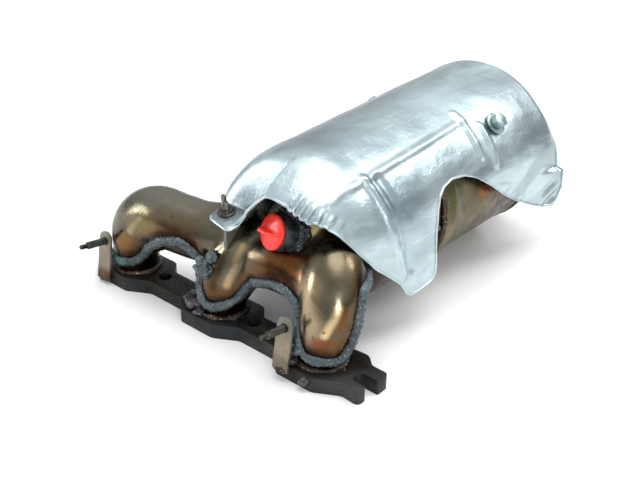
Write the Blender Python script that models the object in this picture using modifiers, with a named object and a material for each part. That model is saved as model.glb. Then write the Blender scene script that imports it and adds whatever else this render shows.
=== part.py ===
"""Exhaust manifold for a three-cylinder head, welded to its catalytic converter.

Two pressed shells make three runners and a collector. They stand on a thick head
flange and lead into a round converter under a domed heat shield. A plug closes the
oxygen sensor boss until the sensor is fitted.

Design axes, in millimetres: X along the head flange, Y along the converter, away
from the ports, Z up from the head face. The middle port is at X 0, Y 0. The parts
hang on one empty, which moves the whole model so that the world origin is the
centre of the bottom of its box.
"""
from math import acos, cos, degrees, pi, radians, sin, sqrt, tan

import bpy
import bmesh
from mathutils import Matrix, Vector

MM = 0.001
GAP = 0.3                                  # clearance between pieces that touch

# World origin: bottom centre of the whole part's box.
BOX_CENTRE_X = 5.25
BOX_CENTRE_Y = 106.22

# Head flange
PORT_PITCH = 82.0
PORTS = (-PORT_PITCH, 0.0, PORT_PITCH)
FLANGE_T = 10.0
FLANGE_FRONT = -10.3
FLANGE_BACK = 8.7
LOBE_REACH = 19.4
LOBE_BACK = 17.6
PORT_TO_BOLT = 27.3
BOLT_R = 4.5
DOWEL_R = 3.2
FLANGE_RIGHT = 121.0
SLOT_INNER = 112.0

# Runners and collector
COLLAR_R = 14.2
SHELL_T = 2.0
COLLAR_FOOT = 1.0                          # how far the collars stop above the head face
COLLAR_TOP = 12.0
SEAM_BACK = 57.0
# Height of the parting line along the front of the runners, as X and Z.
SEAM_FRONT = ((-82, 18), (-71, 20), (-56, 37), (-37, 50), (-26, 53), (-17, 51), (-11, 41),
              (-3, 20), (0, 18), (11, 20), (17, 25), (31, 40), (45, 47), (57, 48), (66, 42),
              (75, 24), (82, 18))
COLLECTOR_NOSE = 11.0                      # Y of the collector's front

# Converter
AXIS_X = 34.0
AXIS_Z = 60.0
BODY_R = 52.5
BODY_T = 1.5
BODY_FRONT = 114.0
BODY_BACK = 224.0
BRICK_R = 46.5
BRICK_FRONT = 121.0
BRICK_LENGTH = 94.0
CONE_BACK = 239.0
OUTLET_Z = 55.0                            # the outlet sits a little below the axis
OUTLET_R = 27.0
OUTLET_PIPE_END = 250.0
OUTLET_FLANGE_T = 7.0
OUTLET_BOLT_RADIUS = 42.0
OUTLET_EAR_R = OUTLET_Z - OUTLET_BOLT_RADIUS

# Oxygen sensor boss and its plug
TILT = radians(19.7)
BOSS_YAW = radians(13.4)
PLUG_SEAT = Vector((37.6, 6.6, 74.9))      # centre of the plug's flange, back face
BOSS_R = 13.0
BOSS_BORE_R = 8.6
BOSS_LENGTH = 17.0
PLUG_R = 10.9
PLUG_STEM_R = 8.2
PLUG_FIN_TURN = -BOSS_YAW                  # the fin lies level

# Studs and their brackets
STUD_R = 2.5
STUD_TIP_R = 1.6
STUD_TILT = radians(8.5)
TAB_W = 11.6
TAB_T = 1.8
TAB_H = 34.2
TAB_TOP_R = 5.0
TAB_HOLE_H = 27.6
TAB_Y = -22.7                              # front face at the foot
LEFT_TAB = (-92.0, 3.0)                    # X and height of the foot
RIGHT_TAB = (69.2, 6.5)

# Heat shield
SHIELD_T = 1.0
NOSE_CENTRE_Y = 45.0
NOSE_LENGTH = 59.0
SHIELD_R_NEAR = 57.2
SHIELD_R_FAR = 64.0
SHIELD_END_Y = 238.0
SHOULDER = 9.0
FLARE = 5.0
FLARE_LENGTH = 30.0
SKIRT_DROP = 36.0                          # how far the skirt hangs below the axis
SHIELD_FRONT_Y = 2.5
SHIELD_LEFT_FRONT_Y = -4.0
SHIELD_TAB_Z = 76.5
SHIELD_STUD = Vector((2.0, 3.2, SHIELD_TAB_Z))
SEAT_SLOPE = 0.22                          # the stud's seat rises away from the front
SEAT_RIGHT = 15.0
SEAT_BACK = 10.5
SEAT_LEFT = -4.0
SHIELD_LEFT_Z = 78.0


# ---------------------------------------------------------------- helpers

def vec(x, y, z):
    """A point given in millimetres, in metres."""
    return Vector((x, y, z)) * MM


def clear_scene():
    for obj in list(bpy.data.objects):
        bpy.data.objects.remove(obj, do_unlink=True)


def make_collection(name):
    collection = bpy.data.collections.new(name)
    bpy.context.scene.collection.children.link(collection)
    return collection


def make_material(name, color, roughness, metallic):
    material = bpy.data.materials.new(name)
    material.use_nodes = True
    shader = material.node_tree.nodes["Principled BSDF"]
    shader.inputs["Base Color"].default_value = (*color, 1.0)
    shader.inputs["Roughness"].default_value = roughness
    shader.inputs["Metallic"].default_value = metallic
    material.diffuse_color = (*color, 1.0)
    return material


clear_scene()
PARTS = make_collection("exhaust_manifold")
CUTTERS = make_collection("cutters")
FRAME = bpy.data.objects.new("manifold_frame", None)
FRAME.location = vec(-BOX_CENTRE_X, -BOX_CENTRE_Y, 0)
PARTS.objects.link(FRAME)


def add_object(name, data, material=None, cutter=False):
    """Link an object under the frame, as a part or as a hidden cutter."""
    obj = bpy.data.objects.new(name, data)
    (CUTTERS if cutter else PARTS).objects.link(obj)
    obj.parent = FRAME
    if cutter:
        obj.hide_render = True
        obj.display_type = "WIRE"
    if material is not None:
        data.materials.append(material)
    return obj


def mesh_from(bm, name):
    bmesh.ops.recalc_face_normals(bm, faces=bm.faces)
    mesh = bpy.data.meshes.new(name)
    bm.to_mesh(mesh)
    bm.free()
    return mesh


def smooth(obj, angle=35):
    obj.data.shade_smooth()
    obj.data.set_sharp_from_angle(angle=radians(angle))
    return obj


def boolean(obj, operand, operation):
    modifier = obj.modifiers.new(operand.name, "BOOLEAN")
    modifier.operation = operation
    modifier.object = operand


def axis_matrix(origin, direction):
    """Place local +Z along direction, with its base at origin (millimetres)."""
    turn = Vector((0, 0, 1)).rotation_difference(Vector(direction).normalized())
    return Matrix.Translation(Vector(origin) * MM) @ turn.to_matrix().to_4x4()


def cylinder(name, radius, length, origin, direction, material=None, cutter=False, sides=32):
    """A solid cylinder from origin along direction."""
    bm = bmesh.new()
    bmesh.ops.create_cone(bm, cap_ends=True, segments=sides, radius1=radius * MM,
                          radius2=radius * MM, depth=length * MM,
                          matrix=Matrix.Translation((0, 0, length * MM / 2)))
    obj = add_object(name, mesh_from(bm, name), material, cutter)
    obj.matrix_local = axis_matrix(origin, direction)
    return obj


def box(name, low, high, material=None, cutter=False):
    bm = bmesh.new()
    low, high = Vector(low) * MM, Vector(high) * MM
    bmesh.ops.create_cube(bm, size=1.0,
                          matrix=Matrix.Translation((low + high) / 2)
                          @ Matrix.Diagonal((*(high - low), 1.0)))
    return add_object(name, mesh_from(bm, name), material, cutter)


def turned(name, profile, origin, direction, material=None, cutter=False, steps=48, closed=False):
    """Turn a profile of (radius, height) points, outer side top to bottom, about an axis."""
    mesh = bpy.data.meshes.new(name)
    points = [(r * MM, 0.0, h * MM) for r, h in profile]
    edges = [(i, i + 1) for i in range(len(points) - 1)]
    if closed:
        edges.append((len(points) - 1, 0))
    mesh.from_pydata(points, edges, [])
    obj = add_object(name, mesh, material, cutter)
    obj.matrix_local = axis_matrix(origin, direction)
    screw = obj.modifiers.new("turn", "SCREW")
    screw.steps = steps
    screw.render_steps = steps
    screw.use_merge_vertices = True
    screw.merge_threshold = 0.00001
    return obj


def arc_corner(before, corner, after, radius, step=22.5):
    """Points that round one corner of an outline."""
    corner, to_before, to_after = (Vector(p) for p in (corner, before, after))
    to_before = (to_before - corner).normalized()
    to_after = (to_after - corner).normalized()
    half = acos(max(-1.0, min(1.0, to_before.dot(to_after)))) / 2
    centre = corner + (to_before + to_after).normalized() * (radius / sin(half))
    start = corner + to_before * (radius / tan(half)) - centre
    end = corner + to_after * (radius / tan(half)) - centre
    sweep = start.angle_signed(end)
    count = max(2, round(abs(degrees(sweep)) / step))
    points = []
    for i in range(count + 1):
        turn = -sweep * i / count
        points.append((centre.x + start.x * cos(turn) - start.y * sin(turn),
                       centre.y + start.x * sin(turn) + start.y * cos(turn)))
    return points


def rounded_outline(corners):
    """Outline through (x, y, corner radius) points."""
    points = []
    for i, (x, y, radius) in enumerate(corners):
        if radius == 0:
            points.append((x, y))
            continue
        before, after = corners[i - 1][:2], corners[(i + 1) % len(corners)][:2]
        points += arc_corner(before, (x, y), after, radius)
    return points


def circle_outline(x, y, radius, count=24):
    return [(x + radius * cos(2 * pi * i / count), y + radius * sin(2 * pi * i / count))
            for i in range(count)]


def plate(name, outlines, thickness, material=None, cutter=False):
    """A flat plate between local Z 0 and its thickness. Inner outlines are holes."""
    curve = bpy.data.curves.new(name, "CURVE")
    curve.dimensions = "2D"
    curve.fill_mode = "BOTH"
    curve.extrude = thickness * MM / 2
    for outline in outlines:
        spline = curve.splines.new("POLY")
        spline.points.add(len(outline) - 1)
        for point, (x, y) in zip(spline.points, outline):
            point.co = (x * MM, y * MM, 0.0, 1.0)
        spline.use_cyclic_u = True
    guide = bpy.data.objects.new(name + "_curve", curve)
    PARTS.objects.link(guide)
    mesh = curve_mesh(guide)
    mesh.transform(Matrix.Translation((0, 0, thickness * MM / 2)))
    return add_object(name, mesh, material, cutter)


def curve_mesh(guide):
    """Turn a curve object into a welded mesh and remove the curve."""
    bpy.context.view_layer.update()
    evaluated = guide.evaluated_get(bpy.context.evaluated_depsgraph_get())
    mesh = bpy.data.meshes.new_from_object(evaluated)
    bm = bmesh.new()
    bm.from_mesh(mesh)
    bmesh.ops.remove_doubles(bm, verts=bm.verts, dist=0.000002)
    bmesh.ops.recalc_face_normals(bm, faces=bm.faces)
    bm.to_mesh(mesh)
    bm.free()
    bpy.data.objects.remove(guide, do_unlink=True)
    return mesh


def tube(name, route, material=None, cutter=False, spare=0.0, resolution=3):
    """A solid tube of changing radius along (x, y, z, radius) points, less spare radius."""
    curve = bpy.data.curves.new(name, "CURVE")
    curve.dimensions = "3D"
    curve.bevel_depth = MM
    curve.bevel_resolution = 4
    curve.use_fill_caps = True
    curve.resolution_u = resolution
    curve.render_resolution_u = resolution
    spline = curve.splines.new("BEZIER")
    spline.bezier_points.add(len(route) - 1)
    for point, (x, y, z, radius) in zip(spline.bezier_points, route):
        point.co = vec(x, y, z)
        point.radius = radius - spare
        point.handle_left_type = "AUTO"
        point.handle_right_type = "AUTO"
    spline.bezier_points[0].handle_right_type = "VECTOR"
    spline.bezier_points[1].handle_left_type = "VECTOR"
    guide = bpy.data.objects.new(name + "_curve", curve)
    PARTS.objects.link(guide)
    return add_object(name, curve_mesh(guide), material, cutter)


# ---------------------------------------------------------------- materials

FLANGE_STEEL = make_material("flange_steel", (0.09, 0.08, 0.075), 0.6, 0.9)
TINTED_STEEL = make_material("tinted_stainless", (0.42, 0.36, 0.26), 0.32, 1.0)
BODY_STEEL = make_material("converter_stainless", (0.45, 0.40, 0.30), 0.35, 1.0)
BRACKET_STEEL = make_material("bracket_steel", (0.55, 0.49, 0.40), 0.5, 0.8)
STUD_STEEL = make_material("stud_steel", (0.06, 0.06, 0.06), 0.45, 0.9)
BOSS_STEEL = make_material("boss_steel", (0.12, 0.13, 0.14), 0.5, 0.9)
ZINC_STEEL = make_material("zinc_steel", (0.55, 0.60, 0.58), 0.35, 1.0)
SHIELD_SHEET = make_material("aluminised_sheet", (0.78, 0.82, 0.86), 0.38, 1.0)
CERAMIC = make_material("cordierite", (0.62, 0.55, 0.42), 0.9, 0.0)
FIBRE_MAT = make_material("fibre_mat", (0.85, 0.82, 0.74), 0.95, 0.0)
RED_PLASTIC = make_material("red_plastic", (0.85, 0.05, 0.03), 0.35, 0.0)


# ---------------------------------------------------------------- head flange

def flange_outline():
    """The flange: a narrow bar with a lobe at each port and an open slot at its end."""
    front = []
    for port in PORTS:
        front += [(port - 28.5, FLANGE_FRONT, 5), (port - 18.5, -LOBE_REACH, 4),
                  (port + 9.0, -LOBE_REACH, 5), (port + 24.5, FLANGE_FRONT, 6)]
    slot_half = BOLT_R
    right = [(FLANGE_RIGHT - 2, FLANGE_FRONT - 0.9, 3), (FLANGE_RIGHT - 2, -slot_half, 0.8),
             (SLOT_INNER - slot_half, -slot_half, slot_half - 0.2),
             (SLOT_INNER - slot_half, slot_half, slot_half - 0.2),
             (FLANGE_RIGHT, slot_half, 0.8), (FLANGE_RIGHT, 14.2, 2.5)]
    back = []
    for port in reversed(PORTS):
        last = port == PORTS[-1]
        back += [(port + 27.0, 14.2 if last else FLANGE_BACK, 4),
                 (port + 19.5, 21.0 if last else LOBE_BACK, 6),
                 (port - 19.5, LOBE_BACK, 6), (port - 28.5, FLANGE_BACK, 5)]
    return rounded_outline(front + right + back)


def build_head_flange():
    outlines = [flange_outline()]
    for port in PORTS:
        outlines.append(circle_outline(port, 0, COLLAR_R + GAP, 28))
    for port in PORTS[:-1]:
        outlines.append(circle_outline(port + PORT_TO_BOLT, 0, BOLT_R))
    outlines.append(circle_outline(-15.2, -13.2, DOWEL_R, 16))
    return smooth(plate("head_flange", outlines, FLANGE_T, FLANGE_STEEL))


# ---------------------------------------------------------------- runners and collector

RUNNER_ROUTES = (
    [(-82, 0, COLLAR_FOOT, 14.2), (-82, 0, 12, 14.2), (-81, 0, 28, 16.9), (-76, 0.5, 42, 18.8),
     (-63, 2, 52.5, 19.5), (-42, 4, 53.5, 19.5), (-20, 9, 53, 19.6), (4, 23, 56, 20.5),
     (26, 48, 60, 24)],
    [(0, 0, COLLAR_FOOT, 14.2), (0, 0, 12, 14.2), (2, 2, 28, 17.5), (8, 10, 44, 19.5),
     (18, 24, 54, 21), (30, 48, 60, 24)],
    [(82, 0, COLLAR_FOOT, 14.2), (82, 0, 13, 14.2), (83, 1.3, 18.5, 16.9), (84, 3, 26, 18),
     (84, 6, 42, 19), (79, 13, 54, 19.8), (64.5, 28, 59, 20), (44, 50, 60, 24)],
)


# Webs that fill the crotches between the runners.
WEB_ROUTES = (
    [(-80, 0, 30, 13), (-62, 1, 42, 14), (-46, 3, 50, 14)],
    [(10, 12, 46, 15), (32, 13, 50, 17), (55, 13, 51, 17), (78, 9, 50, 16)],
)


def collector_profile(spare=0.0):
    """Radius and Y of the collector, from the converter's front to the nose."""
    radius = BODY_R - spare
    length = 62.0 - COLLECTOR_NOSE - spare
    points = [(0.0, BODY_FRONT - GAP + spare), (radius, BODY_FRONT - GAP + spare), (radius, 62.0)]
    steps = 6
    for i in range(1, steps + 1):
        turn = pi / 2 * i / steps
        points.append((max(0.0, radius * cos(turn)), 62.0 - length * sin(turn)))
    points[-1] = (0.0, points[-1][1])
    return points


def manifold_volume(name, spare):
    """The smooth outside of runners and collector together, less spare, as one cutter."""
    turned_steps = 32
    volume = turned(name, collector_profile(spare), (AXIS_X, 0, AXIS_Z), (0, 1, 0),
                    cutter=True, steps=turned_steps)
    for i, route in enumerate(RUNNER_ROUTES):
        foot = route[0]
        own = list(route)
        if spare:
            own[0] = (foot[0], foot[1], foot[2] - 5, foot[3])
        runner = tube(f"{name}_runner_{i + 1}", own, cutter=True, spare=spare)
        boolean(volume, runner, "UNION")
    for i, route in enumerate(WEB_ROUTES):
        web = tube(f"{name}_web_{i + 1}", route, cutter=True, spare=spare)
        boolean(volume, web, "UNION")
    return volume


def front_seam(x):
    """Height of the parting line at the front, between the places given for it."""
    if abs(x) >= PORT_PITCH:
        return SEAM_FRONT[0][1]
    for (a, low), (b, high) in zip(SEAM_FRONT, SEAM_FRONT[1:]):
        if x <= b:
            return low + (high - low) * (x - a) / (b - a)
    return SEAM_FRONT[-1][1]


def seam_height(x, y):
    """Height of the parting surface: low round each port, an arch between, level behind."""
    front = sum(front_seam(x + shift) for shift in (-3, 0, 3)) / 3
    blend = max(0.0, min(1.0, (y + 6.0) / 22.0))
    blend = blend * blend * (3 - 2 * blend)
    return front + (SEAM_BACK - front) * blend


def seam_cutter(name, upper):
    """Everything above, or below, the parting surface."""
    xs = [-122 + 6.1 * i for i in range(41)]
    ys = [-40 + 4.0 * i for i in range(16)] + [30, 60, 130]
    limit = 150.0 if upper else -30.0
    shift = GAP / 2 if upper else -GAP / 2
    bm = bmesh.new()
    rows = []
    for y in ys:
        rows.append([bm.verts.new(vec(x, y, seam_height(x, y) + shift)) for x in xs])
    for row, following in zip(rows, rows[1:]):
        for a, b, c, d in zip(row, row[1:], following[1:], following):
            bm.faces.new((a, b, c))
            bm.faces.new((a, c, d))
    surface = bm.faces[:]
    lifted = bmesh.ops.extrude_face_region(bm, geom=surface)
    for vert in [g for g in lifted["geom"] if isinstance(g, bmesh.types.BMVert)]:
        vert.co.z = limit * MM
    return add_object(name, mesh_from(bm, name), cutter=True)


def boss_axis():
    """Outward direction of the sensor boss: forward, tipped up, and turned a little left."""
    return Vector((-sin(BOSS_YAW) * cos(TILT), -cos(BOSS_YAW) * cos(TILT), sin(TILT)))


def build_shells():
    """The upper and lower pressed halves."""
    outside = manifold_volume("outside", 0.0)
    inside = manifold_volume("inside", SHELL_T)
    hole = cylinder("boss_hole", BOSS_R + GAP, 60, PLUG_SEAT - boss_axis() * 50, boss_axis(),
                    cutter=True)
    shells = []
    for name, upper in (("upper_shell", True), ("lower_shell", False)):
        shell = add_object(name, outside.data.copy(), TINTED_STEEL)
        shell.matrix_local = outside.matrix_local.copy()
        for source in outside.modifiers:
            if source.type == "SCREW":
                screw = shell.modifiers.new("turn", "SCREW")
                screw.steps = source.steps
                screw.render_steps = source.steps
                screw.use_merge_vertices = True
                screw.merge_threshold = source.merge_threshold
            else:
                boolean(shell, source.object, source.operation)
        boolean(shell, inside, "DIFFERENCE")
        boolean(shell, seam_cutter(name + "_side", upper), "INTERSECT")
        boolean(shell, hole, "DIFFERENCE")
        shells.append(shell)
    top = COLLAR_TOP + GAP
    below = box("below_shells", (-150, -60, -20), (150, 60, top), cutter=True)
    boolean(shells[1], below, "DIFFERENCE")


def build_collars():
    """Short tubes set in the head flange; the shells are welded on to them."""
    inner = COLLAR_R - SHELL_T
    profile = [(inner, COLLAR_TOP), (COLLAR_R, COLLAR_TOP), (COLLAR_R, COLLAR_FOOT),
               (inner, COLLAR_FOOT)]
    for name, port in zip(("left", "middle", "right"), PORTS):
        smooth(turned(name + "_collar", profile, (port, 0, 0), (0, 0, 1), TINTED_STEEL, steps=32,
                      closed=True))


# ---------------------------------------------------------------- sensor boss and plug

def build_boss():
    length = BOSS_LENGTH
    profile = [(BOSS_BORE_R, length), (BOSS_R - 1.2, length), (BOSS_R, length - 1.2), (BOSS_R, 0),
               (BOSS_BORE_R, 0)]
    origin = PLUG_SEAT - boss_axis() * (length + GAP)
    return turned("sensor_boss", profile, origin, boss_axis(), BOSS_STEEL, steps=32, closed=True)


def build_plug():
    """Transit plug: hollow stem in the bore, round flange, and a fin to pull it by."""
    stem = 11.0
    wall = 1.6
    rim = 2.2
    profile = [(0, rim + 0.6), (PLUG_R - 2.5, rim + 0.6), (PLUG_R, rim - 0.4), (PLUG_R, 0),
               (PLUG_STEM_R, 0), (PLUG_STEM_R - 0.5, -stem), (PLUG_STEM_R - wall - 0.5, -stem),
               (PLUG_STEM_R - wall, 0), (0, 0.6)]
    plug = turned("sensor_plug", profile, PLUG_SEAT, boss_axis(), RED_PLASTIC, steps=32)
    fin_outline = [(-7.6, 1.0), (7.6, 1.0), (3.4, 9.8), (-3.4, 9.8)]
    fin = plate("plug_fin_tool", [fin_outline], 2.0, cutter=True)
    fin.matrix_local = (axis_matrix(PLUG_SEAT, boss_axis())
                        @ Matrix.Rotation(PLUG_FIN_TURN, 4, "Z")
                        @ Matrix.Translation(vec(0, 1, 0)) @ Matrix.Rotation(pi / 2, 4, "X"))
    boolean(plug, fin, "UNION")
    return plug


# ---------------------------------------------------------------- converter

def build_converter():
    axis = (0, 1, 0)
    origin = (AXIS_X, 0, AXIS_Z)
    inner = BODY_R - BODY_T
    turned("converter_body",
           [(inner, BODY_BACK), (BODY_R, BODY_BACK), (BODY_R, BODY_FRONT), (inner, BODY_FRONT)],
           origin, axis, BODY_STEEL, closed=True)
    brick_back = BRICK_FRONT + BRICK_LENGTH
    turned("support_mat",
           [(BRICK_R + GAP, brick_back - 4), (inner - GAP, brick_back - 4),
            (inner - GAP, BRICK_FRONT + 4), (BRICK_R + GAP, BRICK_FRONT + 4)],
           origin, axis, FIBRE_MAT, closed=True, steps=40)
    turned("catalyst_brick",
           [(0, brick_back), (BRICK_R, brick_back), (BRICK_R, BRICK_FRONT), (0, BRICK_FRONT)],
           origin, axis, CERAMIC, steps=40)
    cone_start = BODY_BACK + GAP
    outer = [(cone_start, AXIS_Z, BODY_R), (cone_start + 1.5, AXIS_Z, BODY_R),
             (cone_start + 6, AXIS_Z - 1, BODY_R - 4), (CONE_BACK, OUTLET_Z, OUTLET_R),
             (OUTLET_PIPE_END, OUTLET_Z, OUTLET_R)]
    inner_side = [(OUTLET_PIPE_END, OUTLET_Z, OUTLET_R - BODY_T),
                  (CONE_BACK - 0.8, OUTLET_Z, OUTLET_R - BODY_T),
                  (cone_start + 5, AXIS_Z - 1, BODY_R - 5.4), (cone_start, AXIS_Z, inner)]
    ringed("outlet_cone", outer + inner_side, BODY_STEEL)


def ringed(name, rings, material, sides=48):
    """A closed body through rings of (y, centre height, radius) about the converter's X."""
    bm = bmesh.new()
    loops = []
    for y, height, radius in rings:
        loops.append([bm.verts.new(vec(AXIS_X + radius * cos(2 * pi * i / sides), y,
                                       height + radius * sin(2 * pi * i / sides)))
                      for i in range(sides)])
    for loop, following in zip(loops, loops[1:] + loops[:1]):
        for i in range(sides):
            after = (i + 1) % sides
            bm.faces.new((loop[i], loop[after], following[after], following[i]))
    return smooth(add_object(name, mesh_from(bm, name), material))


def outlet_outline():
    """A two-bolt flange: round ears above and below, a round middle, straight sides."""
    middle_r = OUTLET_R + 7.0
    ear_turn = acos((middle_r - OUTLET_EAR_R) / OUTLET_BOLT_RADIUS)
    points = []
    for side in (-1, 1):
        for i in range(9):
            turn = side * pi / 2 + ear_turn * (i - 4) / 4 * -1
            points.append((OUTLET_EAR_R * cos(turn),
                           side * OUTLET_BOLT_RADIUS + OUTLET_EAR_R * sin(turn)))
        flat = pi / 2 - ear_turn
        for i in range(5):
            turn = pi / 2 - side * pi / 2 + flat * (i - 2) / 2 * -1
            points.append((middle_r * cos(turn), middle_r * sin(turn)))
    return points


def build_outlet_flange():
    outlines = [outlet_outline(), circle_outline(0, 0, OUTLET_R + GAP, 40)]
    for side in (-1, 1):
        outlines.append(circle_outline(0, side * OUTLET_BOLT_RADIUS, 5.2, 20))
    flange = plate("outlet_flange", outlines, OUTLET_FLANGE_T, FLANGE_STEEL)
    flange.matrix_local = (Matrix.Translation(vec(AXIS_X, OUTLET_PIPE_END + 1, OUTLET_Z))
                           @ Matrix.Rotation(pi / 2, 4, "X"))
    return smooth(flange)


# ---------------------------------------------------------------- brackets and studs

def tilted(x, y, z, tilt):
    """Matrix with local X along the flange, local Y up the tilted tab, local Z outward."""
    return (Matrix.Translation(vec(x, y, z)) @ Matrix.Rotation(pi / 2 - tilt, 4, "X"))


def tab_matrix(x, foot):
    """Where a tab stands: back face of the plate, leaning away from the front."""
    return tilted(x, TAB_Y + TAB_T, foot, STUD_TILT)


def build_tab(name, x, foot):
    """A narrow bracket against the flange's front face, with a hole for its stud."""
    half = TAB_W / 2
    corners = [(-half, 0, 0), (half, 0, 0), (half, TAB_H - 10, 8),
               (TAB_TOP_R, TAB_H, TAB_TOP_R - 0.3), (-TAB_TOP_R, TAB_H, TAB_TOP_R - 0.3),
               (-half, TAB_H - 10, 8)]
    outlines = [rounded_outline(corners), circle_outline(0, TAB_HOLE_H, STUD_R + GAP, 16)]
    tab = plate(name, outlines, TAB_T, BRACKET_STEEL)
    tab.matrix_local = tab_matrix(x, foot)
    return smooth(tab)


def stud_profile(length, back):
    """A headed stud: thin head behind the bracket, shank, and a thinner guide tip."""
    return [(0, length), (STUD_TIP_R - 0.4, length), (STUD_TIP_R, length - 0.5),
            (STUD_TIP_R, length - 5), (STUD_R, length - 6.2), (STUD_R, -GAP),
            (STUD_R + 1.4, -GAP), (STUD_R + 1.4, -GAP - back), (0, -GAP - back)]


def build_tab_stud(name, x, foot):
    place = tab_matrix(x, foot)
    outward = place.to_3x3() @ Vector((0, 0, 1))
    hole = place @ vec(0, TAB_HOLE_H, 0)
    return smooth(turned(name, stud_profile(TAB_T + 20, 1.2), hole / MM, outward, STUD_STEEL,
                         steps=20))


def build_shield_fixing():
    """Bracket, stud and press nut under and over the shield's front tab."""
    lean = Vector((0, -SEAT_SLOPE, 1)).normalized()
    seat = SHIELD_STUD - lean * (SHIELD_T + 0.05 + 2 * GAP)
    corners = [(-5, -8, 3), (9, -8, 3), (9, 5, 3), (-5, 5, 3)]
    bracket = plate("shield_bracket", [rounded_outline(corners),
                                       circle_outline(0, 0, STUD_R + GAP, 16)], 2.0, BRACKET_STEEL)
    bracket.matrix_local = axis_matrix(seat - lean * 2.0, lean)
    leg = box("shield_bracket_leg", (7.5, -5, 50), (9.5, 7, 72), cutter=True)
    boolean(bracket, leg, "UNION")
    boolean(bracket, manifold_volume("clearance", -GAP), "DIFFERENCE")
    smooth(bracket)
    smooth(turned("shield_stud", stud_profile(17.0, 0.8), seat - lean * 2.0, lean, STUD_STEEL,
                  steps=20))
    nut = [(STUD_R + 0.15, 3.4), (4.2, 3.4), (4.6, 1.2), (5.8, 1.0), (5.8, 0), (STUD_R + 0.15, 0)]
    smooth(turned("shield_nut", nut, SHIELD_STUD + lean * GAP, lean, STUD_STEEL, steps=20,
                  closed=True))


# ---------------------------------------------------------------- heat shield

def shield_radius(y):
    """Radius of the dome about the converter's axis."""
    if y < NOSE_CENTRE_Y:
        part = (NOSE_CENTRE_Y - y) / NOSE_LENGTH
        return SHIELD_R_NEAR * sqrt(max(0.0, 1 - part * part))
    reach = (y - NOSE_CENTRE_Y) / (SHIELD_END_Y - NOSE_CENTRE_Y)
    return SHIELD_R_NEAR + (SHIELD_R_FAR - SHIELD_R_NEAR) * reach


def shoulder(y):
    """How far the dome turns in at its far end."""
    into = max(0.0, y - (SHIELD_END_Y - SHOULDER)) / SHOULDER
    return SHOULDER * (1 - sqrt(max(0.0, 1 - into * into)))


def seat_height(x, y):
    """The flat seat pressed into the dome for the front stud, and its sloping sides."""
    flat = SHIELD_TAB_Z + SEAT_SLOPE * (y - SHIELD_STUD.y)
    return flat + max(0.0, 1.4 * (x - SEAT_RIGHT), 2.2 * (y - SEAT_BACK))


def shield_point(y, turn, skirt):
    """A point of the dome, or of the straight skirt below its side."""
    radius = shield_radius(y) - shoulder(y) * (1 - max(0.0, sin(turn)) ** 6)
    x = AXIS_X + radius * sin(turn)
    z = AXIS_Z + radius * cos(turn) - skirt
    z = min(z, seat_height(x, y))
    if skirt and turn > 0:
        far = max(0.0, y - (SHIELD_END_Y - FLARE_LENGTH)) / FLARE_LENGTH
        x += 0.06 * skirt + FLARE * far * far
    return vec(x, y, z)


def build_heat_shield():
    """Dome and skirts as one open sheet, thickened, then trimmed to its outline."""
    ys = [SHIELD_LEFT_FRONT_Y - 2, -2] + [3 + 7 * i for i in range(7)]
    ys += [55 + 15.5 * i for i in range(12)]
    ys += [SHIELD_END_Y - SHOULDER * (1 - sin(pi / 2 * i / 4)) for i in range(1, 5)]
    stations = [(-pi / 2, 15.0)]
    stations += [(-pi / 2 + pi * i / 18, 0.0) for i in range(19)]
    stations += [(pi / 2, SKIRT_DROP / 2), (pi / 2, SKIRT_DROP)]
    bm = bmesh.new()
    rows = [[bm.verts.new(shield_point(y, turn, skirt)) for turn, skirt in stations] for y in ys]
    for row, following in zip(rows, rows[1:]):
        for a, b, c, d in zip(row, row[1:], following[1:], following):
            bm.faces.new((a, b, c, d))
    mesh = mesh_from(bm, "heat_shield")
    shield = add_object("heat_shield", mesh, SHIELD_SHEET)
    solidify = shield.modifiers.new("sheet", "SOLIDIFY")
    solidify.thickness = SHIELD_T * MM
    solidify.offset = -1.0
    boolean(shield, right_trim(), "DIFFERENCE")
    boolean(shield, left_trim(), "DIFFERENCE")
    boolean(shield, seat_trim(), "DIFFERENCE")
    boolean(shield, shield_tab(), "UNION")
    boolean(shield, cylinder("shield_stud_hole", STUD_R + 0.4, 30,
                             SHIELD_STUD - Vector((0, -SEAT_SLOPE, 1)) * 15, (0, -SEAT_SLOPE, 1),
                             cutter=True, sides=16),
            "DIFFERENCE")
    return shield


def side_prism(name, outline, x_from, x_to):
    """A prism along X whose outline is given as (y, z)."""
    prism = plate(name, [outline], x_to - x_from, cutter=True)
    turn = Matrix(((0, 0, 1, 0), (1, 0, 0, 0), (0, 1, 0, 0), (0, 0, 0, 1)))
    prism.matrix_local = Matrix.Translation(vec(x_from, 0, 0)) @ turn
    return prism


def right_trim():
    """Cuts the sloping front edge and the arch that shows the converter's side."""
    corners = [(-20, 102, 0), (2.5, 102, 0), (2.5, 92, 4), (14, 88, 8), (30, 67, 20), (62, 38, 8),
               (68, 27, 6), (92, 27, 7), (96, 50, 15), (100, 87, 18), (140, 86, 30),
               (178, 56, 30), (215, 33, 20), (260, 33, 0), (260, 5, 0), (-20, 5, 0)]
    return side_prism("shield_right_trim", rounded_outline(corners), AXIS_X, AXIS_X + 90)


def left_trim():
    """Cuts the hidden side to a plain edge that steps up over the front runner."""
    corners = [(-20, 102, 0), (SHIELD_FRONT_Y, 102, 0), (SHIELD_LEFT_FRONT_Y, 88, 5),
               (SHIELD_LEFT_FRONT_Y, SHIELD_LEFT_Z, 0),
               (24, SHIELD_LEFT_Z, 10),
               (52, 50, 12), (260, 50, 0), (260, 5, 0), (-20, 5, 0)]
    return side_prism("shield_left_trim", rounded_outline(corners), AXIS_X - 90, SEAT_LEFT)


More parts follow.
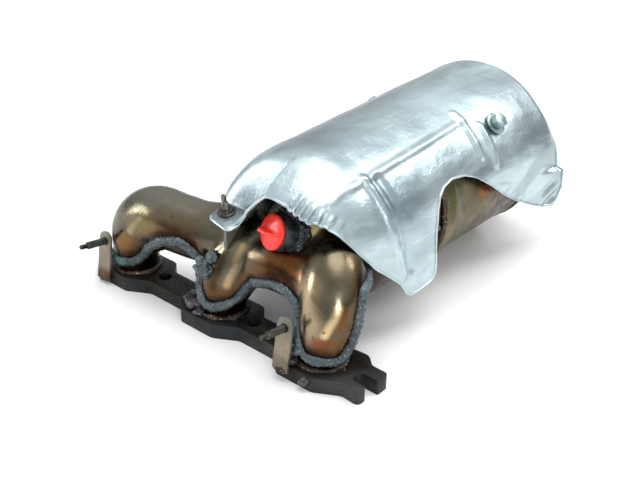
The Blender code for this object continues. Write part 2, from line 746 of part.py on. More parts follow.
def seat_trim():
    """Cuts what hangs below the stud's seat, and in front of it."""
    front = seat_height(0, SHIELD_LEFT_FRONT_Y) - 0.9
    back = seat_height(0, SEAT_BACK) - 0.9
    corners = [(-20, 102), (SHIELD_FRONT_Y, 102), (SHIELD_LEFT_FRONT_Y, 88),
               (SHIELD_LEFT_FRONT_Y, front), (SEAT_BACK, back), (52, back), (52, 40), (-20, 40)]
    return side_prism("shield_seat_trim", corners, SEAT_LEFT - 0.5, AXIS_X)


def shield_tab():
    """The flat tab at the front left, which the stud passes through."""
    corners = [(-7, -9, 3), (14.5, -13, 3), (14.5, 6.5, 0), (-8, 6.5, 3)]
    tab = plate("shield_tab", [rounded_outline(corners)], SHIELD_T, cutter=True)
    tab.matrix_local = (axis_matrix(SHIELD_STUD, (0, -SEAT_SLOPE, 1))
                        @ Matrix.Translation(vec(0, 0, -SHIELD_T - 0.05)))
    return tab


def build_shield_bolt(name, turn):
    """Post on the converter, washer and hex bolt that hold the shield."""
    y = 179.0
    outward = Vector((sin(turn), 0, cos(turn)))
    base = Vector((AXIS_X, y, AXIS_Z))
    sheet = shield_radius(y)
    post_length = sheet - SHIELD_T - 0.6 - (BODY_R + GAP)
    bore = 3.3
    smooth(turned(name + "_post",
                  [(bore, post_length), (6.5, post_length), (6.5, 0.6), (bore, 0.6)],
                  base + outward * (BODY_R + GAP), outward, BRACKET_STEEL, steps=20, closed=True))
    smooth(turned(name + "_washer", [(bore, 1.2), (7.6, 1.2), (7.6, 0), (bore, 0)],
                  base + outward * (sheet + 0.8), outward, ZINC_STEEL, steps=24, closed=True))
    shank_r = bore - 0.3
    head_base = sheet + 0.8 + 1.2 + GAP
    head = cylinder(name, 5.5, 5.0, base + outward * head_base, outward, ZINC_STEEL, sides=6)
    shank = cylinder(name + "_shank", shank_r, 11.0, base + outward * (head_base - 10.5), outward,
                     cutter=True, sides=16)
    boolean(head, shank, "UNION")
    return cylinder(name + "_hole", bore + 0.2, 12.0, base + outward * (sheet - 6), outward,
                    cutter=True, sides=16)


# ---------------------------------------------------------------- assembly

def build():
    build_head_flange()
    build_shells()
    build_collars()
    build_boss()
    build_plug()
    build_converter()
    build_outlet_flange()
    for name, (x, foot) in (("left", LEFT_TAB), ("right", RIGHT_TAB)):
        build_tab(name + "_bracket", x, foot)
        build_tab_stud(name + "_stud", x, foot)
    build_shield_fixing()
    shield = build_heat_shield()
    for name, turn in (("right_shield_bolt", radians(45)), ("left_shield_bolt", radians(-62))):
        boolean(shield, build_shield_bolt(name, turn), "DIFFERENCE")


build()
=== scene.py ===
"""Looks of the exhaust manifold: finer shells, welds, shield and surface materials.

Places are design millimetres, as in the CAD: X along the head flange, Y along the
converter, Z up from the head face, with the middle port at X 0, Y 0. The function at()
turns them into the shared frame, whose origin is the bottom centre of the whole box.
"""
import random
from math import acos, cos, degrees, hypot, pi, radians, sin, sqrt

import bmesh
import bpy
from mathutils import Matrix, Vector, noise
from mathutils.bvhtree import BVHTree


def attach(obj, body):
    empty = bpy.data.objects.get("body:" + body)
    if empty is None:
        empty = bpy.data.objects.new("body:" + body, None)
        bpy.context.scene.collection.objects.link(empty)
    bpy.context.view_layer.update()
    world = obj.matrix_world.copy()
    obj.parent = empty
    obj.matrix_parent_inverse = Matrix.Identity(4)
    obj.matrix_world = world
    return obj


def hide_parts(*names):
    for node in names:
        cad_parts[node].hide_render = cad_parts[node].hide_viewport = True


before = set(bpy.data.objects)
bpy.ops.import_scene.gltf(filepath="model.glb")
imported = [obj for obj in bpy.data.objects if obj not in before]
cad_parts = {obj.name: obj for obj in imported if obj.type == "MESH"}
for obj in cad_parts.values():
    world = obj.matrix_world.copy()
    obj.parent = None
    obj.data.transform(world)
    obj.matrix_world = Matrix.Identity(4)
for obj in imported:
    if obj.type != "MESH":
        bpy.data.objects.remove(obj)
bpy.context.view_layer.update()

MM = 0.001
BOX_CENTRE_X = 5.25
BOX_CENTRE_Y = 106.22
BASE = "manifold"
PLUG = "plug"
EDGE = 0.3  # size of a small bevel
UP = (0, 0, 1)
ALONG = (0, 1, 0)  # the converter's axis

# Head flange, collars and parting line.
PORT_PITCH = 82.0
PORTS = (-PORT_PITCH, 0.0, PORT_PITCH)
FLANGE_T = 10.0
FLANGE_FRONT_EDGE = -9.8
PORT_TO_BOLT = 27.3
BOLT_HOLE_R = 4.5
COLLAR_R = 14.2
COLLAR_BORE_R = 12.2
COLLAR_FOOT = 1.0
COLLAR_TOP = 14.0
LINER_TOP = 30.0
SEAM_BACK = 57.0
SEAM_ROUNDING = 3.0
SEAM_TURN_START = -6.0
SEAM_TURN_END = 16.0
# Height of the parting line along the front of the runners, as X and Z.
SEAM_FRONT = ((-82, 18), (-71, 20), (-56, 37), (-37, 50), (-26, 53), (-17, 51), (-11, 41),
              (-3, 20), (0, 18), (11, 20), (17, 25), (31, 40), (45, 47), (57, 48), (66, 42),
              (75, 24), (82, 18))

# Converter and outlet, with Y along their axis.
AXIS_X = 34.0
AXIS_Z = 60.0
BODY_R = 52.5
BODY_T = 1.5
BODY_FRONT = 114.0
BODY_BACK = 224.0
COLLECTOR_NOSE = 11.0
COLLECTOR_SHOULDER = 62.0
SKIN_FOOT = 1.6  # height and Y where the visible skin ends
SKIN_BACK = BODY_FRONT - 1.2
OUTLET_WELD_Y = 243.6
OUTLET_WELD_R = 27.2
OUTLET_Z = 55.0

# Sensor boss.
TILT = radians(19.7)
BOSS_YAW = radians(13.4)
PLUG_SEAT = Vector((37.6, 6.6, 74.9))
BOSS_R = 13.0
BOSS_BORE_R = 8.6
BOSS_LENGTH = 17.0
BOSS_WELD_DEPTH = 12.0
BOSS_WELD_LEAST = 8.5
BOSS_WELD_MOST = 13.5

# Heat shield and the seat of its front stud.
NOSE_CENTRE_Y = 45.0
NOSE_LENGTH = 59.0
SHIELD_R_NEAR = 57.2
SHIELD_R_FAR = 64.0
SHIELD_END_Y = 238.0
SHOULDER = 9.0
FLARE = 5.0
FLARE_LENGTH = 30.0
SHIELD_T = 1.0
SEAT_X = 2.0
SEAT_Z = 76.5
SEAT_Y = 3.2
SEAT_SLOPE = 0.22
SEAT_RIGHT = 15.0
SEAT_BACK = 10.5


# ---- helpers

def at(x, y, z):
    """A design point, in millimetres, as a point of the shared frame in metres."""
    return Vector((x - BOX_CENTRE_X, y - BOX_CENTRE_Y, z)) * MM


def smoothstep(low, high, value):
    part = max(0.0, min(1.0, (value - low) / (high - low)))
    return part * part * (3 - 2 * part)


def interpolated(table, y):
    """The value at a place, between the (place, value) pairs of a table."""
    if y <= table[0][0]:
        return table[0][1]
    for (a, first), (b, second) in zip(table, table[1:]):
        if y <= b:
            return first + (second - first) * (y - a) / (b - a)
    return table[-1][1]


def linked(name, data):
    """A new object of the scene."""
    obj = bpy.data.objects.new(name, data)
    bpy.context.scene.collection.objects.link(obj)
    return obj


def piece(name, mesh, material, replaces=(), body=BASE, angle=40):
    """Link a mesh as one visual piece that rides on a body."""
    obj = linked(name, mesh)
    mesh.materials.clear()
    mesh.materials.append(material)
    mesh.shade_smooth()
    mesh.set_sharp_from_angle(angle=radians(angle))
    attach(obj, body)
    if replaces:
        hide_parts(*replaces)


def mesh_of(bm, name):
    bmesh.ops.recalc_face_normals(bm, faces=bm.faces)
    mesh = bpy.data.meshes.new(name)
    bm.to_mesh(mesh)
    bm.free()
    return mesh


def bead_piece(name, bm, material, angle=60):
    """Make a finished bmesh a visual piece of the same name on the fixed body."""
    piece(name, mesh_of(bm, name), material, angle=angle)


def evaluated_mesh(obj):
    """The mesh of an object with its modifiers applied; the object is removed."""
    bpy.context.view_layer.update()
    result = bpy.data.meshes.new_from_object(
        obj.evaluated_get(bpy.context.evaluated_depsgraph_get()))
    bpy.data.objects.remove(obj, do_unlink=True)
    return result


def add_sheet(source, offset):
    """Give a surface the thickness of the shield's sheet."""
    sheet = source.modifiers.new("sheet", "SOLIDIFY")
    sheet.thickness = SHIELD_T * MM
    sheet.offset = offset


def join_rings(bm, rings, looped, capped):
    """Add the faces between neighbouring rings of vertices, and the two ends."""
    pairs = list(zip(rings, rings[1:]))
    if looped:
        pairs.append((rings[-1], rings[0]))
    sides = len(rings[0])
    for ring, following in pairs:
        for k in range(sides):
            after = (k + 1) % sides
            bm.faces.new((ring[k], ring[after], following[after], following[k]))
    if capped:
        bm.faces.new(rings[0])
        bm.faces.new(list(reversed(rings[-1])))


def frames_along(path, closed=False):
    """Side and up directions at each point of a path, turning as little as possible."""
    count = len(path)
    tangents = []
    for i in range(count):
        after = path[(i + 1) % count] if closed or i < count - 1 else path[i]
        before = path[i - 1] if closed or i > 0 else path[i]
        tangents.append((after - before).normalized())
    side = tangents[0].orthogonal().normalized()
    result = []
    for tangent in tangents:
        side = (side - tangent * side.dot(tangent)).normalized()
        result.append((side, tangent.cross(side)))
    return result


def add_bead(bm, path, radius, seed, closed=False, rough=0.22, ripple=3.2, sides=14, flat=1.0):
    """Add a weld bead along a path of metres: a lumpy tube with the ripples of its passes."""
    turns = frames_along(path, closed)
    travelled = 0.0
    rings = []
    for i, (point, (side, up)) in enumerate(zip(path, turns)):
        if i:
            travelled += (point - path[i - 1]).length / MM
        wave = 1 + 0.10 * sin(2 * pi * travelled / ripple + 2 * noise.noise(
            Vector((travelled * 0.12, seed, 0))))
        ends = 1.0
        if not closed:
            ends = sqrt(max(0.02, min(1.0, min(i, len(path) - 1 - i) / 3.0)))
        ring = []
        for k in range(sides):
            turn = 2 * pi * k / sides
            around = Vector((cos(turn), sin(turn)))
            lump = noise.noise(Vector((travelled * 0.16, around.x * 0.9, around.y * 0.9 + seed)))
            grain = noise.noise(Vector((travelled * 0.7, around.x * 2.2, around.y * 2.2 + seed)))
            reach = radius * ends * wave * (1 + rough * 1.6 * lump + rough * 0.7 * grain)
            ring.append(bm.verts.new(point + (side * around.x + up * around.y * flat)
                                     * reach * MM))
        rings.append(ring)
    join_rings(bm, rings, closed, not closed)


def resampled(points, step):
    """Points at an even spacing along a polyline."""
    result = [points[0].copy()]
    left = step
    for a, b in zip(points, points[1:]):
        length = (b - a).length
        done = 0.0
        while length - done >= left:
            done += left
            result.append(a.lerp(b, done / length))
            left = step
        left -= length - done
    return result


def smoothed(points, rounds, closed=False):
    """A polyline's points drawn towards their neighbours; open ends stay."""
    for _ in range(rounds):
        fresh = list(points)
        for i in range(len(points)):
            if not closed and i in (0, len(points) - 1):
                continue
            before, after = points[i - 1], points[(i + 1) % len(points)]
            fresh[i] = points[i] * 0.5 + (before + after) * 0.25
        points = fresh
    return points


def add_lathe(bm, profile, origin, direction, sides, thread=None):
    """Add a turned body from (radius, height) points. A thread is (from, to, depth, pitch)."""
    turn = Vector(UP).rotation_difference(Vector(direction).normalized())
    place = Matrix.Translation(at(*origin)) @ turn.to_matrix().to_4x4()
    rings = []
    for radius, height in profile:
        ring = []
        for k in range(sides):
            angle = 2 * pi * k / sides
            reach = radius
            if thread and thread[0] <= height <= thread[1]:
                phase = (height / thread[3] - k / sides) % 1.0
                reach -= thread[2] * (1 - abs(2 * phase - 1))
            ring.append(bm.verts.new(place @ (Vector((reach * cos(angle), reach * sin(angle),
                                                      height)) * MM)))
        rings.append(ring)
    join_rings(bm, rings, False, profile[0] != profile[-1])
    bmesh.ops.remove_doubles(bm, verts=bm.verts, dist=1e-7)


def lathe_mesh(name, profile, origin, direction, sides):
    bm = bmesh.new()
    add_lathe(bm, profile, origin, direction, sides)
    return mesh_of(bm, name)


def refined(name, node, material, bevel, segments=3, body=BASE):
    """A CAD node's own shape with flat faces joined and its edges rounded."""
    bm = bmesh.new()
    bm.from_mesh(bpy.data.objects[node].data)
    bmesh.ops.remove_doubles(bm, verts=bm.verts, dist=2e-6)
    bmesh.ops.dissolve_limit(bm, angle_limit=radians(1.0), verts=bm.verts, edges=bm.edges)
    source = linked("temporary", mesh_of(bm, name))
    rounding = source.modifiers.new("edge", "BEVEL")
    rounding.width = bevel * MM
    rounding.segments = segments
    rounding.limit_method = "ANGLE"
    rounding.angle_limit = radians(35)
    piece(name, evaluated_mesh(source), material, (node,), body)


# ---- materials

class Graph:
    """Builds one material's nodes. Sockets are passed straight from call to call."""

    def __init__(self, name, **shader):
        self.material = bpy.data.materials.new(name)
        self.material.use_nodes = True
        self.tree = self.material.node_tree
        self.shader = self.tree.nodes["Principled BSDF"]
        for key, value in shader.items():
            self.shader.inputs[key.replace("_", " ")].default_value = value
        self.place = self.tree.nodes.new("ShaderNodeTexCoord").outputs["Object"]
        self.tone = None

    def node(self, kind, inputs=(), **settings):
        made = self.tree.nodes.new(kind)
        for key, value in settings.items():
            setattr(made, key, value)
        for key, value in inputs:
            if isinstance(value, bpy.types.NodeSocket):
                self.tree.links.new(value, made.inputs[key])
            else:
                made.inputs[key].default_value = value
        return made

    def math(self, operation, first, second=0.0, clamp=False):
        made = self.node("ShaderNodeMath", ((0, first), (1, second)), operation=operation)
        made.use_clamp = clamp
        return made.outputs[0]

    def noise(self, scale, detail=4.0, roughness=0.55, distortion=0.0, stretch=None):
        """Fractal noise; scale is in features per metre."""
        where = self.place
        if stretch:
            where = self.node("ShaderNodeMapping", (("Vector", where), ("Scale", stretch))
                              ).outputs[0]
        made = self.node("ShaderNodeTexNoise",
                         (("Vector", where), ("Scale", scale), ("Detail", detail),
                          ("Roughness", roughness), ("Distortion", distortion)))
        return made.outputs["Fac"]

    def spots(self, scale, low, high):
        """Small separate dots, 1 inside and 0 outside."""
        made = self.node("ShaderNodeTexVoronoi", (("Vector", self.place), ("Scale", scale)))
        return self.remap(made.outputs["Distance"], low, high, 1.0, 0.0)

    def remap(self, value, low, high, to_low=0.0, to_high=1.0, kind="SMOOTHSTEP"):
        inputs = enumerate((value, low, high, to_low, to_high))
        return self.node("ShaderNodeMapRange", inputs, interpolation_type=kind).outputs[0]

    def ramp(self, value, stops):
        made = self.node("ShaderNodeValToRGB", ((0, value),))
        elements = made.color_ramp.elements
        while len(elements) < len(stops):
            elements.new(0.5)
        for element, (position, color) in zip(elements, stops):
            element.position = position
            element.color = (*color, 1.0)
        return made.outputs[0]

    def mix(self, factor, first, second):
        tones = [tone if isinstance(tone, bpy.types.NodeSocket) else (*tone, 1.0)
                 for tone in (first, second)]
        return self.node("ShaderNodeMix", ((0, factor), (6, tones[0]), (7, tones[1])),
                         data_type="RGBA").outputs[2]

    def falloff(self, distance, radius, soft, warp):
        """1 at no distance, falling to 0 at a radius, with an edge broken up by a noise."""
        push = self.math("MULTIPLY", self.math("SUBTRACT", warp, 0.5), radius * MM * 1.1)
        distance = self.math("ADD", distance, push)
        return self.remap(distance, radius * MM * (1 - soft), radius * MM, 1.0, 0.0)

    def near(self, centre, radius, soft, warp):
        """1 near a design point, falling to 0 at a radius."""
        gap = self.vector("DISTANCE", self.place, at(*centre)).outputs["Value"]
        return self.falloff(gap, radius, soft, warp)

    def near_line(self, start, end, radius, soft, warp):
        """1 near the line between two design points, falling to 0 at a radius."""
        first, along = at(*start), at(*end) - at(*start)
        offset = self.vector("SUBTRACT", self.place, first).outputs[0]
        part = self.math("DIVIDE", self.vector("DOT_PRODUCT", offset, along).outputs["Value"],
                         along.length_squared, clamp=True)
        reach = self.node("ShaderNodeVectorMath", ((0, along), ("Scale", part)),
                          operation="SCALE").outputs[0]
        gap = self.vector("SUBTRACT", offset, reach).outputs[0]
        distance = self.vector("LENGTH", gap, (0, 0, 0)).outputs["Value"]
        return self.falloff(distance, radius, soft, warp)

    def vector(self, operation, first, second):
        return self.node("ShaderNodeVectorMath", ((0, first), (1, second)), operation=operation)

    def axis(self, index):
        return self.node("ShaderNodeSeparateXYZ", ((0, self.place),)).outputs[index]

    def over(self, factor, tone):
        """Lay a colour over the one so far."""
        self.tone = self.mix(factor, self.tone, tone)

    def finish(self, rough, height=None, depth=0.0, strength=1.0):
        """Link colour, roughness and bump to the shader and return the material."""
        self.tree.links.new(self.tone, self.shader.inputs["Base Color"])
        self.tree.links.new(rough, self.shader.inputs["Roughness"])
        if height:
            made = self.node("ShaderNodeBump", (("Height", height), ("Distance", depth * MM),
                                                ("Strength", strength)))
            self.tree.links.new(made.outputs[0], self.shader.inputs["Normal"])
        return self.material


# Heat tints on the runners, with painted highlights, painted shade and a painted fill light among
# them: ends of a line on the surface, radius, strength, colour.
RUNNER_TINTS_AND_PAINTED_LIGHT = (
    ((-70, 0, 74), (-30, 4, 72), 24, 0.85, (0.175, 0.168, 0.135)),
    ((-62, -14, 52), (-48, -13, 58), 12, 0.8, (0.20, 0.145, 0.065)),
    # painted highlight: a light streak along the bend of the first runner
    ((-67, -15, 47), (-54, -13, 63), 4.5, 0.9, (0.46, 0.40, 0.23)),
    ((-92, -12, 26), (-98, -6, 40), 11, 0.85, (0.07, 0.025, 0.008)),
    ((-76, -15, 34), (-71, -15, 40), 8, 0.7, (0.24, 0.12, 0.03)),
    ((-38, -13, 64), (-20, -9, 62), 12, 0.7, (0.11, 0.085, 0.05)),
    ((-14, -9, 60), (-8, -8, 56), 7, 0.6, (0.10, 0.085, 0.075)),
    ((-5, -10, 54), (-2, -9, 48), 4, 0.8, (0.32, 0.11, 0.02)),
    ((6, -13, 34), (10, -6, 62), 6, 0.8, (0.05, 0.022, 0.008)),
    # painted highlight: a light streak up the front of the middle runner
    ((14, -10, 36), (18, 0, 61), 4.2, 0.95, (0.42, 0.30, 0.15)),
    ((15, -10, 40), (16, -8, 47), 1.6, 0.7, (0.34, 0.26, 0.30)),
    # painted shade: a dark line in the crease beside that streak
    ((20, -9, 36), (24, 1, 60), 3.2, 0.9, (0.035, 0.014, 0.005)),
    # olive heat tint, made lighter as a painted highlight on the pressed facet
    ((27, 0, 47), (31, 3, 55), 6.5, 0.85, (0.20, 0.155, 0.075)),
    ((30, 1, 51), (31, 2, 52), 2.0, 0.9, (0.30, 0.09, 0.02)),
    ((38, -2, 44), (32, 8, 66), 3.5, 0.85, (0.04, 0.015, 0.005)),
    ((44, 0, 58), (60, 4, 60), 12, 0.85, (0.085, 0.034, 0.010)),
    # painted light: a lighter patch that offsets the shade beneath the shield
    ((56, 20, 77), (68, 20, 78), 12, 0.9, (0.46, 0.37, 0.18)),
    # painted shade: a dark line along the step between the collector and the third runner's top
    ((64, 11, 73), (74, 18, 77), 2.6, 0.8, (0.035, 0.018, 0.008)),
    ((67, -2, 58), (72, -12, 30), 5.0, 0.85, (0.07, 0.028, 0.008)),
    ((76, -11, 58), (82, -13, 38), 15, 0.9, (0.37, 0.28, 0.175)),
    # painted highlight: a light streak on the front of the third runner
    ((93, -11, 36), (97, -4, 52), 4.0, 0.85, (0.75, 0.55, 0.28)),
    ((99, -5, 40), (101, 1, 56), 3.2, 0.85, (0.16, 0.055, 0.018)),
    ((89, -13, 30), (95, -9, 31), 5, 0.7, (0.20, 0.055, 0.02)),
    ((72, 8, 72), (90, 8, 68), 13, 0.75, (0.13, 0.105, 0.065)),
    ((76, 40, 46), (84, 60, 50), 22, 0.75, (0.08, 0.045, 0.018)),
)


# Tones of the shield, flange and can, with one painted highlight on the shield's nose: centre,
# radius, (softness,) colour.
SHIELD_TINTS = (((20, 60, 108), 42, (0.30, 0.36, 0.39)), ((10, 12, 84), 26, (0.11, 0.14, 0.16)),
                ((78, 70, 84), 30, (0.27, 0.34, 0.38)), ((88, 110, 70), 26, (0.62, 0.66, 0.68)),
                ((70, 215, 95), 30, (0.28, 0.32, 0.35)), ((84, 224, 45), 26, (0.60, 0.66, 0.68)),
                # painted highlight: the first tone on the next line, a bright patch on the right of
                # the nose
                ((58, 22, 96), 16, (0.72, 0.84, 0.86)), ((2, 3, 77), 14, (0.27, 0.28, 0.28)),
                ((45, 150, 118), 40, (0.56, 0.68, 0.72)))
FLANGE_TINTS = (((-52, -12, 6), 22, (0.024, 0.021, 0.017)),
                ((108, -14, 7), 24, (0.055, 0.052, 0.049)),
                ((14, -19, 6), 20, (0.030, 0.034, 0.038)))
CAN_TINTS = (((85, 164, 66), 13, 0.8, (0.20, 0.075, 0.015)),
             ((84, 200, 48), 42, 0.95, (0.030, 0.018, 0.014)),
             ((84, 125, 70), 20, 0.8, (0.085, 0.080, 0.035)))


def seam_distance(graph):
    """How far a place is above the parting line, in metres."""
    across = graph.remap(graph.axis(0), at(-PORT_PITCH, 0, 0).x, at(PORT_PITCH, 0, 0).x,
                         kind="LINEAR")
    curve = graph.node("ShaderNodeFloatCurve", ((1, across),))
    points = curve.mapping.curves[0].points
    spots = [((x + PORT_PITCH) / (2 * PORT_PITCH), z / SEAM_BACK) for x, z in SEAM_FRONT]
    points[0].location = spots[0]
    points[1].location = spots[-1]
    for spot in spots[1:-1]:
        points.new(*spot)
    curve.mapping.update()
    front = graph.math("MULTIPLY", curve.outputs[0], SEAM_BACK * MM)
    back = graph.remap(graph.axis(1), at(0, SEAM_TURN_START, 0).y, at(0, SEAM_TURN_END, 0).y)
    rise = graph.math("MULTIPLY", graph.math("SUBTRACT", SEAM_BACK * MM, front), back)
    return graph.math("SUBTRACT", graph.axis(2), graph.math("ADD", front, rise))


def runner_metal():
    graph = Graph("runner_heat_tint_and_painted_light", Metallic=1.0)
    broad = graph.noise(22, 5, 0.6)
    fine = graph.noise(140, 6, 0.6)
    graph.tone = graph.ramp(broad, ((0.30, (0.060, 0.046, 0.026)), (0.45, (0.110, 0.099, 0.068)),
                                    (0.58, (0.150, 0.137, 0.098)), (0.75, (0.100, 0.072, 0.038))))
    above = graph.math("ADD", seam_distance(graph), graph.math(
        "MULTIPLY", graph.math("SUBTRACT", broad, 0.5), 0.022))
    graph.over(graph.remap(above, 0.008, 0.026, 0.85, 0.0), (0.105, 0.048, 0.016))
    for start, end, radius, strength, tint in RUNNER_TINTS_AND_PAINTED_LIGHT:
        part = graph.near_line(start, end, radius, 0.85, broad)
        graph.over(graph.math("MULTIPLY", part, strength), tint)
    graph.over(graph.remap(above, 0.004, 0.011, 0.95, 0.0), (0.022, 0.010, 0.006))
    graph.over(graph.remap(graph.noise(60, 3), 0.56, 0.66, 0.0, 0.5),
               graph.mix(graph.remap(above, 0.0, 0.004), (0.12, 0.03, 0.012), graph.tone))
    # painted shade: darker towards the bottom, at the collars next to the flange
    graph.over(graph.remap(graph.axis(2), 0.010, 0.019, 1.0, 0.0), (0.035, 0.022, 0.016))
    graph.over(graph.remap(fine, 0.64, 0.72, 0.0, 0.7), (0.05, 0.03, 0.018))
    return graph.finish(graph.remap(fine, 0.3, 0.75, 0.20, 0.40), graph.noise(260, 4, 0.6),
                        0.12, 0.5)


def weld_metal(name, tones, teal=False):
    """Crusty weld scale: dark grey oxide, paler ridges and small bright specks."""
    graph = Graph(name, Metallic=0.55)
    cloud = graph.noise(120, 6, 0.65)
    graph.tone = graph.ramp(cloud, tuple(zip((0.30, 0.46, 0.60, 0.78), tones)))
    if teal:
        graph.over(graph.near((-90, -15, 20), 18, 0.7, cloud), (0.04, 0.11, 0.11))
    graph.over(graph.spots(520, 0.10, 0.22), (0.42, 0.45, 0.47))
    graph.over(graph.remap(graph.noise(60, 3), 0.60, 0.72), (0.05, 0.035, 0.025))
    return graph.finish(graph.remap(cloud, 0.3, 0.7, 0.36, 0.62), graph.noise(700, 5, 0.65),
                        0.20, 0.6)


def flange_metal():
    graph = Graph("flange_scale", Metallic=0.75)
    cloud = graph.noise(45, 6, 0.62)
    grain = graph.noise(700, 5, 0.7)
    graph.tone = graph.ramp(cloud, ((0.28, (0.009, 0.008, 0.007)), (0.45, (0.020, 0.018, 0.016)),
                                    (0.60, (0.040, 0.037, 0.034)), (0.78, (0.075, 0.068, 0.060))))
    rust = graph.remap(graph.noise(70, 5, 0.7), 0.60, 0.70)
    graph.over(graph.math("MULTIPLY", rust, 0.6), (0.07, 0.032, 0.015))
    for centre, radius, tint in FLANGE_TINTS:
        graph.over(graph.near(centre, radius, 0.8, cloud), tint)
    return graph.finish(graph.remap(grain, 0.3, 0.7, 0.40, 0.68), graph.math(
        "ADD", grain, graph.math("MULTIPLY", cloud, 2.0)), 0.22, 0.6)


def shield_metal(name="aluminised_sheet", shade=1.0):
    """Rolled sheet with cloudy tones, streaks, scratches and a few stains. Its tones include a
    painted highlight on the nose; shade scales all colours, giving a lighter copy as painted
    highlight on the hems and a darker copy as painted shade on the tab.
    """
    graph = Graph(name, Metallic=1.0)
    cloud = graph.noise(16, 4, 0.55)
    streak = graph.noise(24, 6, 0.65, 1.2, stretch=(1.6, 0.5, 1.6))
    grain = graph.noise(900, 3, 0.6)
    stops = ((0.30, (0.32, 0.39, 0.41)), (0.50, (0.43, 0.53, 0.55)), (0.70, (0.52, 0.63, 0.65)))
    graph.tone = graph.ramp(cloud, tuple((p, tuple(shade * v for v in c)) for p, c in stops))
    graph.over(graph.remap(streak, 0.50, 0.62, 0.0, 0.55), (0.62, 0.72, 0.75))
    graph.over(graph.remap(streak, 0.46, 0.36, 0.0, 0.45), (0.33, 0.38, 0.42))
    scratch = graph.noise(55, 4, 0.7, stretch=(9.0, 0.8, 5.0))
    graph.over(graph.remap(scratch, 0.62, 0.70, 0.0, 0.45), (0.74, 0.80, 0.83))
    for centre, radius, tint in SHIELD_TINTS:
        graph.over(graph.math("MULTIPLY", graph.near(centre, radius, 0.9, cloud), 0.7),
                   tuple(shade * v for v in tint))
    graph.over(graph.remap(graph.noise(130, 5, 0.7), 0.66, 0.76, 0.0, 0.5), (0.27, 0.28, 0.28))
    rough = graph.math("ADD", graph.remap(cloud, 0.3, 0.7, 0.24, 0.34),
                       graph.math("MULTIPLY", grain, 0.12))
    height = graph.math("ADD", grain, graph.math("MULTIPLY", graph.noise(70, 5, 0.65), 6.0))
    return graph.finish(rough, height, 0.14, 0.7)


def converter_metal():
    graph = Graph("converter_heat_tint", Metallic=1.0)
    cloud = graph.noise(26, 5, 0.6)
    graph.tone = graph.ramp(cloud, ((0.30, (0.06, 0.042, 0.020)), (0.48, (0.14, 0.11, 0.060)),
                                    (0.65, (0.22, 0.18, 0.110)), (0.80, (0.11, 0.060, 0.028))))
    for centre, radius, soft, tint in CAN_TINTS:
        graph.over(graph.near(centre, radius, soft, cloud), tint)
    return graph.finish(graph.remap(graph.noise(160, 5), 0.3, 0.7, 0.26, 0.44),
                        graph.noise(420, 4), 0.10, 0.5)


def bracket_metal():
    graph = Graph("bracket_dull", Metallic=0.6)
    cloud = graph.noise(90, 5, 0.6)
    graph.tone = graph.ramp(cloud, ((0.30, (0.13, 0.11, 0.080)), (0.50, (0.25, 0.205, 0.150)),
                                    (0.72, (0.33, 0.275, 0.205))))
    graph.over(graph.remap(graph.axis(2), 0.027, 0.037), (0.19, 0.195, 0.155))
    rust = graph.math("MULTIPLY", graph.remap(graph.axis(2), 0.007, 0.015, 1.0, 0.0),
                      graph.remap(cloud, 0.35, 0.55))
    graph.over(rust, (0.085, 0.035, 0.012))
    return graph.finish(graph.remap(cloud, 0.3, 0.7, 0.42, 0.62), graph.noise(700, 4), 0.12, 0.5)


def plain_metal(name, dark, light, metallic, low, high, scale=200):
    """Two tones in a cloud; low and high are the limits of the roughness."""
    graph = Graph(name, Metallic=metallic)
    cloud = graph.noise(scale, 5, 0.6)
    graph.tone = graph.ramp(cloud, ((0.32, dark), (0.68, light)))
    return graph.finish(graph.remap(cloud, 0.3, 0.7, low, high), graph.noise(900, 3), 0.06, 0.4)


def plug_plastic():
    graph = Graph("red_plug", Coat_Weight=0.15, Subsurface_Weight=0.25, Subsurface_Scale=0.002)
    cloud = graph.noise(150, 3)
    graph.tone = graph.ramp(cloud, ((0.3, (0.80, 0.022, 0.012)), (0.7, (0.90, 0.04, 0.02))))
    return graph.finish(graph.remap(cloud, 0.3, 0.7, 0.34, 0.46), graph.noise(500, 2), 0.05, 0.3)


RUNNER = runner_metal()
WELD_BLUE = weld_metal("weld_scale_blue", (
    (0.022, 0.026, 0.030), (0.060, 0.078, 0.086), (0.095, 0.120, 0.128), (0.20, 0.235, 0.245)),
    teal=True)
WELD_BROWN = weld_metal("weld_scale_brown", (
    (0.012, 0.009, 0.007), (0.040, 0.026, 0.017), (0.085, 0.055, 0.034), (0.16, 0.12, 0.085)))
WELD_DARK = weld_metal("weld_scale_dark", (
    (0.006, 0.008, 0.009), (0.018, 0.024, 0.026), (0.045, 0.055, 0.060), (0.12, 0.14, 0.15)))
WELD_GREY = weld_metal("weld_scale_grey", (
    (0.020, 0.019, 0.021), (0.055, 0.052, 0.058), (0.110, 0.105, 0.115), (0.24, 0.23, 0.24)))
FLANGE = flange_metal()
SHIELD = shield_metal()
# a darker copy of the shield's sheet: painted shade on the seat tab
TAB_SHEET = shield_metal("seat_sheet", 0.55)
# a slightly lighter copy of the shield's sheet: painted highlight along the hems
HEM = shield_metal("bright_edge", 1.05)
CONVERTER = converter_metal()
BRACKET = bracket_metal()
STUD = plain_metal("stud_dark", (0.020, 0.020, 0.017), (0.085, 0.080, 0.070), 0.9, 0.25, 0.45)
STUD_BRIGHT = plain_metal("stud_worn", (0.09, 0.09, 0.085), (0.24, 0.24, 0.22), 0.95, 0.28, 0.45)
BOLT = plain_metal("zinc_bolt", (0.20, 0.29, 0.29), (0.42, 0.52, 0.50), 0.95, 0.22, 0.38, 120)
BOSS = plain_metal("boss_scale", (0.008, 0.010, 0.010), (0.06, 0.07, 0.07), 0.8, 0.35, 0.60, 260)
BRICK = plain_metal("honeycomb", (0.42, 0.36, 0.27), (0.62, 0.55, 0.43), 0.0, 0.8, 0.95)
MAT = plain_metal("fibre", (0.72, 0.69, 0.62), (0.88, 0.85, 0.78), 0.0, 0.9, 1.0)
PLASTIC = plug_plastic()


# ---- runners and collector

